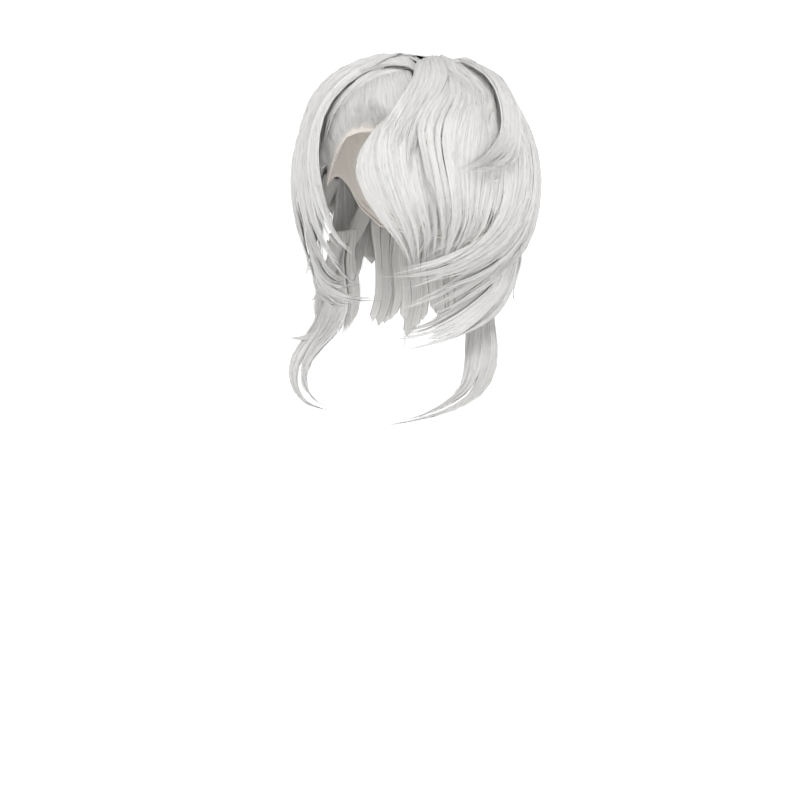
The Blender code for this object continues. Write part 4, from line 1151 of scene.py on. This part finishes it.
def smooth_copy(name, finish):
    deselect_all()
    made = bpy.data.objects.new(name + "_net", frame["nodes"][name].data.copy())
    bpy.context.scene.collection.objects.link(made)
    bpy.context.view_layer.objects.active = made
    made.select_set(True)
    bpy.ops.object.mode_set(mode="EDIT")
    bpy.ops.mesh.select_all(action="SELECT")
    bpy.ops.mesh.remove_doubles(threshold=MERGE_WITHIN)
    bpy.ops.mesh.tris_convert_to_quads()
    bpy.ops.object.mode_set(mode="OBJECT")
    if made.data.has_custom_normals:
        bpy.ops.mesh.customdata_custom_splitnormals_clear()
    modifier = made.modifiers.new("smooth", "SUBSURF")
    modifier.levels = modifier.render_levels = ROUNDING
    bpy.ops.object.modifier_apply(modifier="smooth")
    bpy.ops.object.shade_smooth()
    for layer in list(made.data.uv_layers):
        made.data.uv_layers.remove(layer)
    places = np.array([vertex.co for vertex in made.data.vertices])
    corners = np.array([loop.vertex_index for loop in made.data.loops])
    turn = np.arctan2(places[:, 0], -places[:, 1])
    uv = np.stack([turn * HEAD_WIDTH / 2, places[:, 2]], axis=1)[corners]
    made.data.uv_layers.new(name="net").data.foreach_set("uv", uv.astype(np.float32).ravel())
    made.data.materials.clear()
    made.data.materials.append(finish)
    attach(made, "root")
    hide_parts(name)
    print(made.name, len(made.data.polygons), "faces")


smooth_copy("wig_cap", stretch_net)
smooth_copy("lace_front", fine_lace)

# %% [markdown]
# Inside the cap the hair is sewn on in rows, the wefts, and a soft cord binds the edge. Both are twisted
# thread. Rope geometry would be lost at this size, so each is a plain cord, and bands along it stand for the
# twist.

# %% Wefts and binding
CAP_EDGE = (
    (0, 0.62), (14, 0.63), (26, 0.67), (34, 0.75), (40, 0.90), (48, 1.02), (60, 1.08), (72, 1.05),
    (84, 1.00), (97, 1.08), (109, 1.36), (126, 1.56), (150, 1.64), (180, 1.66),
)
THREAD_LIGHT, THREAD_DEEP = (0.80, 0.765, 0.72), (0.62, 0.57, 0.51)
THREAD_ROUGHNESS, THREAD_RELIEF, THREAD_DEPTH = 0.7, 0.5, 0.0003
TWISTS, UNEVEN = 160, 1.5
CORD_STEP, CORD_TONE = 0.004, 0.5
CORD_PLACES, BINDING_PLACES = 60, 181
WEFTS, WEFT_RADIUS, WEFT_LIFT = 9, 0.0011, -0.0002
WEFT_TURNS, WEFT_SHARES = (72, 288), (0.34, 0.95)  # round the back of the head, and down it
BINDING_RADIUS, BINDING_LIFT = 0.0017, 0.0008
LACE_RADIUS, LACE_LIFT, LACE_WIDTH = 0.0006, 0.0024, 0.045


def cap_edge(turn):
    """How far down the cap reaches at this turn."""
    table = np.array(CAP_EDGE)
    return np.interp(np.abs((np.asarray(turn) + 180) % 360 - 180), table[:, 0], table[:, 1])


def cords_along(paths, radius):
    radii = np.full(paths.shape[:2], radius)
    fibre = np.stack([np.zeros(radii.shape), np.cumsum(np.ones(radii.shape), axis=1) * CORD_STEP], axis=-1)
    return strands_along(paths, outward(paths), radii, fibre, np.full(radii.shape, CORD_TONE), seen=0)


def thread_material():
    made, shader = plain_material("beige_thread", THREAD_LIGHT, THREAD_ROUGHNESS)
    tree = made.node_tree
    place = node(tree, "ShaderNodeUVMap", uv_map="fibre")
    twist = node(tree, "ShaderNodeTexWave", {"Scale": TWISTS, "Distortion": UNEVEN}, bands_direction="Y")
    link(tree, place, "UV", twist, "Vector")
    tint(tree, shader, twist, "Fac", THREAD_DEEP, THREAD_LIGHT)
    relief(tree, shader, twist, "Fac", THREAD_RELIEF, THREAD_DEPTH)
    return made


thread = thread_material()
weft_turns = np.linspace(*WEFT_TURNS, CORD_PLACES)
weft_rows = [on_head(weft_turns, np.full(CORD_PLACES, share) * cap_edge(weft_turns),
                     np.full(CORD_PLACES, WEFT_LIFT)) for share in np.linspace(*WEFT_SHARES, WEFTS)]
hair_piece("weft_rows", [cords_along(np.array(weft_rows), WEFT_RADIUS)], thread)
edge_turns = np.linspace(-180, 180, BINDING_PLACES)
binding_path = on_head(edge_turns, cap_edge(edge_turns) - 0.01, np.full(BINDING_PLACES, BINDING_LIFT))
front_turns = np.linspace(-46, 46, CORD_PLACES)
lace_path = on_head(front_turns, cap_edge(front_turns) + LACE_WIDTH, np.full(CORD_PLACES, LACE_LIFT))
hair_piece("edge_binding", [cords_along(binding_path[None], BINDING_RADIUS),
                            cords_along(lace_path[None], LACE_RADIUS)], thread)
print("wefts:", len(weft_rows))

# %% [markdown]
# The hairline has baby hairs, short and thin, that start on the lace and are swept back over it. They are the
# strands of the locks again, each with a start, a sweep and a height of its own.

# %% Baby hairs
BABIES, BABY_PLACES = 260, 8
BABY_RADIUS, BABY_TONE = 0.00018, 0.75
rng = np.random.default_rng(7)
turn = rng.uniform(-42, 30, BABIES)[:, None]
s = np.linspace(0, 1, BABY_PLACES)[None]
start = cap_edge(turn) + rng.uniform(-0.03, 0.03, (BABIES, 1))
paths = on_head(turn - (8 + 22 * rng.random((BABIES, 1))) * s ** 1.5 * np.sign(14 - turn),
                start - (0.10 + 0.12 * rng.random((BABIES, 1))) * s,
                0.0035 + 0.0075 * np.sin(s * 2.2) * rng.uniform(0.5, 1, (BABIES, 1)))
radii = BABY_RADIUS * (1 - 0.8 * s) * np.ones((BABIES, 1))
fibre = np.stack([np.repeat(rng.uniform(0, 5, (BABIES, 1)), BABY_PLACES, axis=1),
                  s * 0.03 * np.ones((BABIES, 1))], axis=-1)
baby_tone = np.full((BABIES, BABY_PLACES), BABY_TONE)
hair_piece("baby_hairs", [strands_along(paths, outward(paths), radii, fibre, baby_tone)])
print("baby hairs:", BABIES)
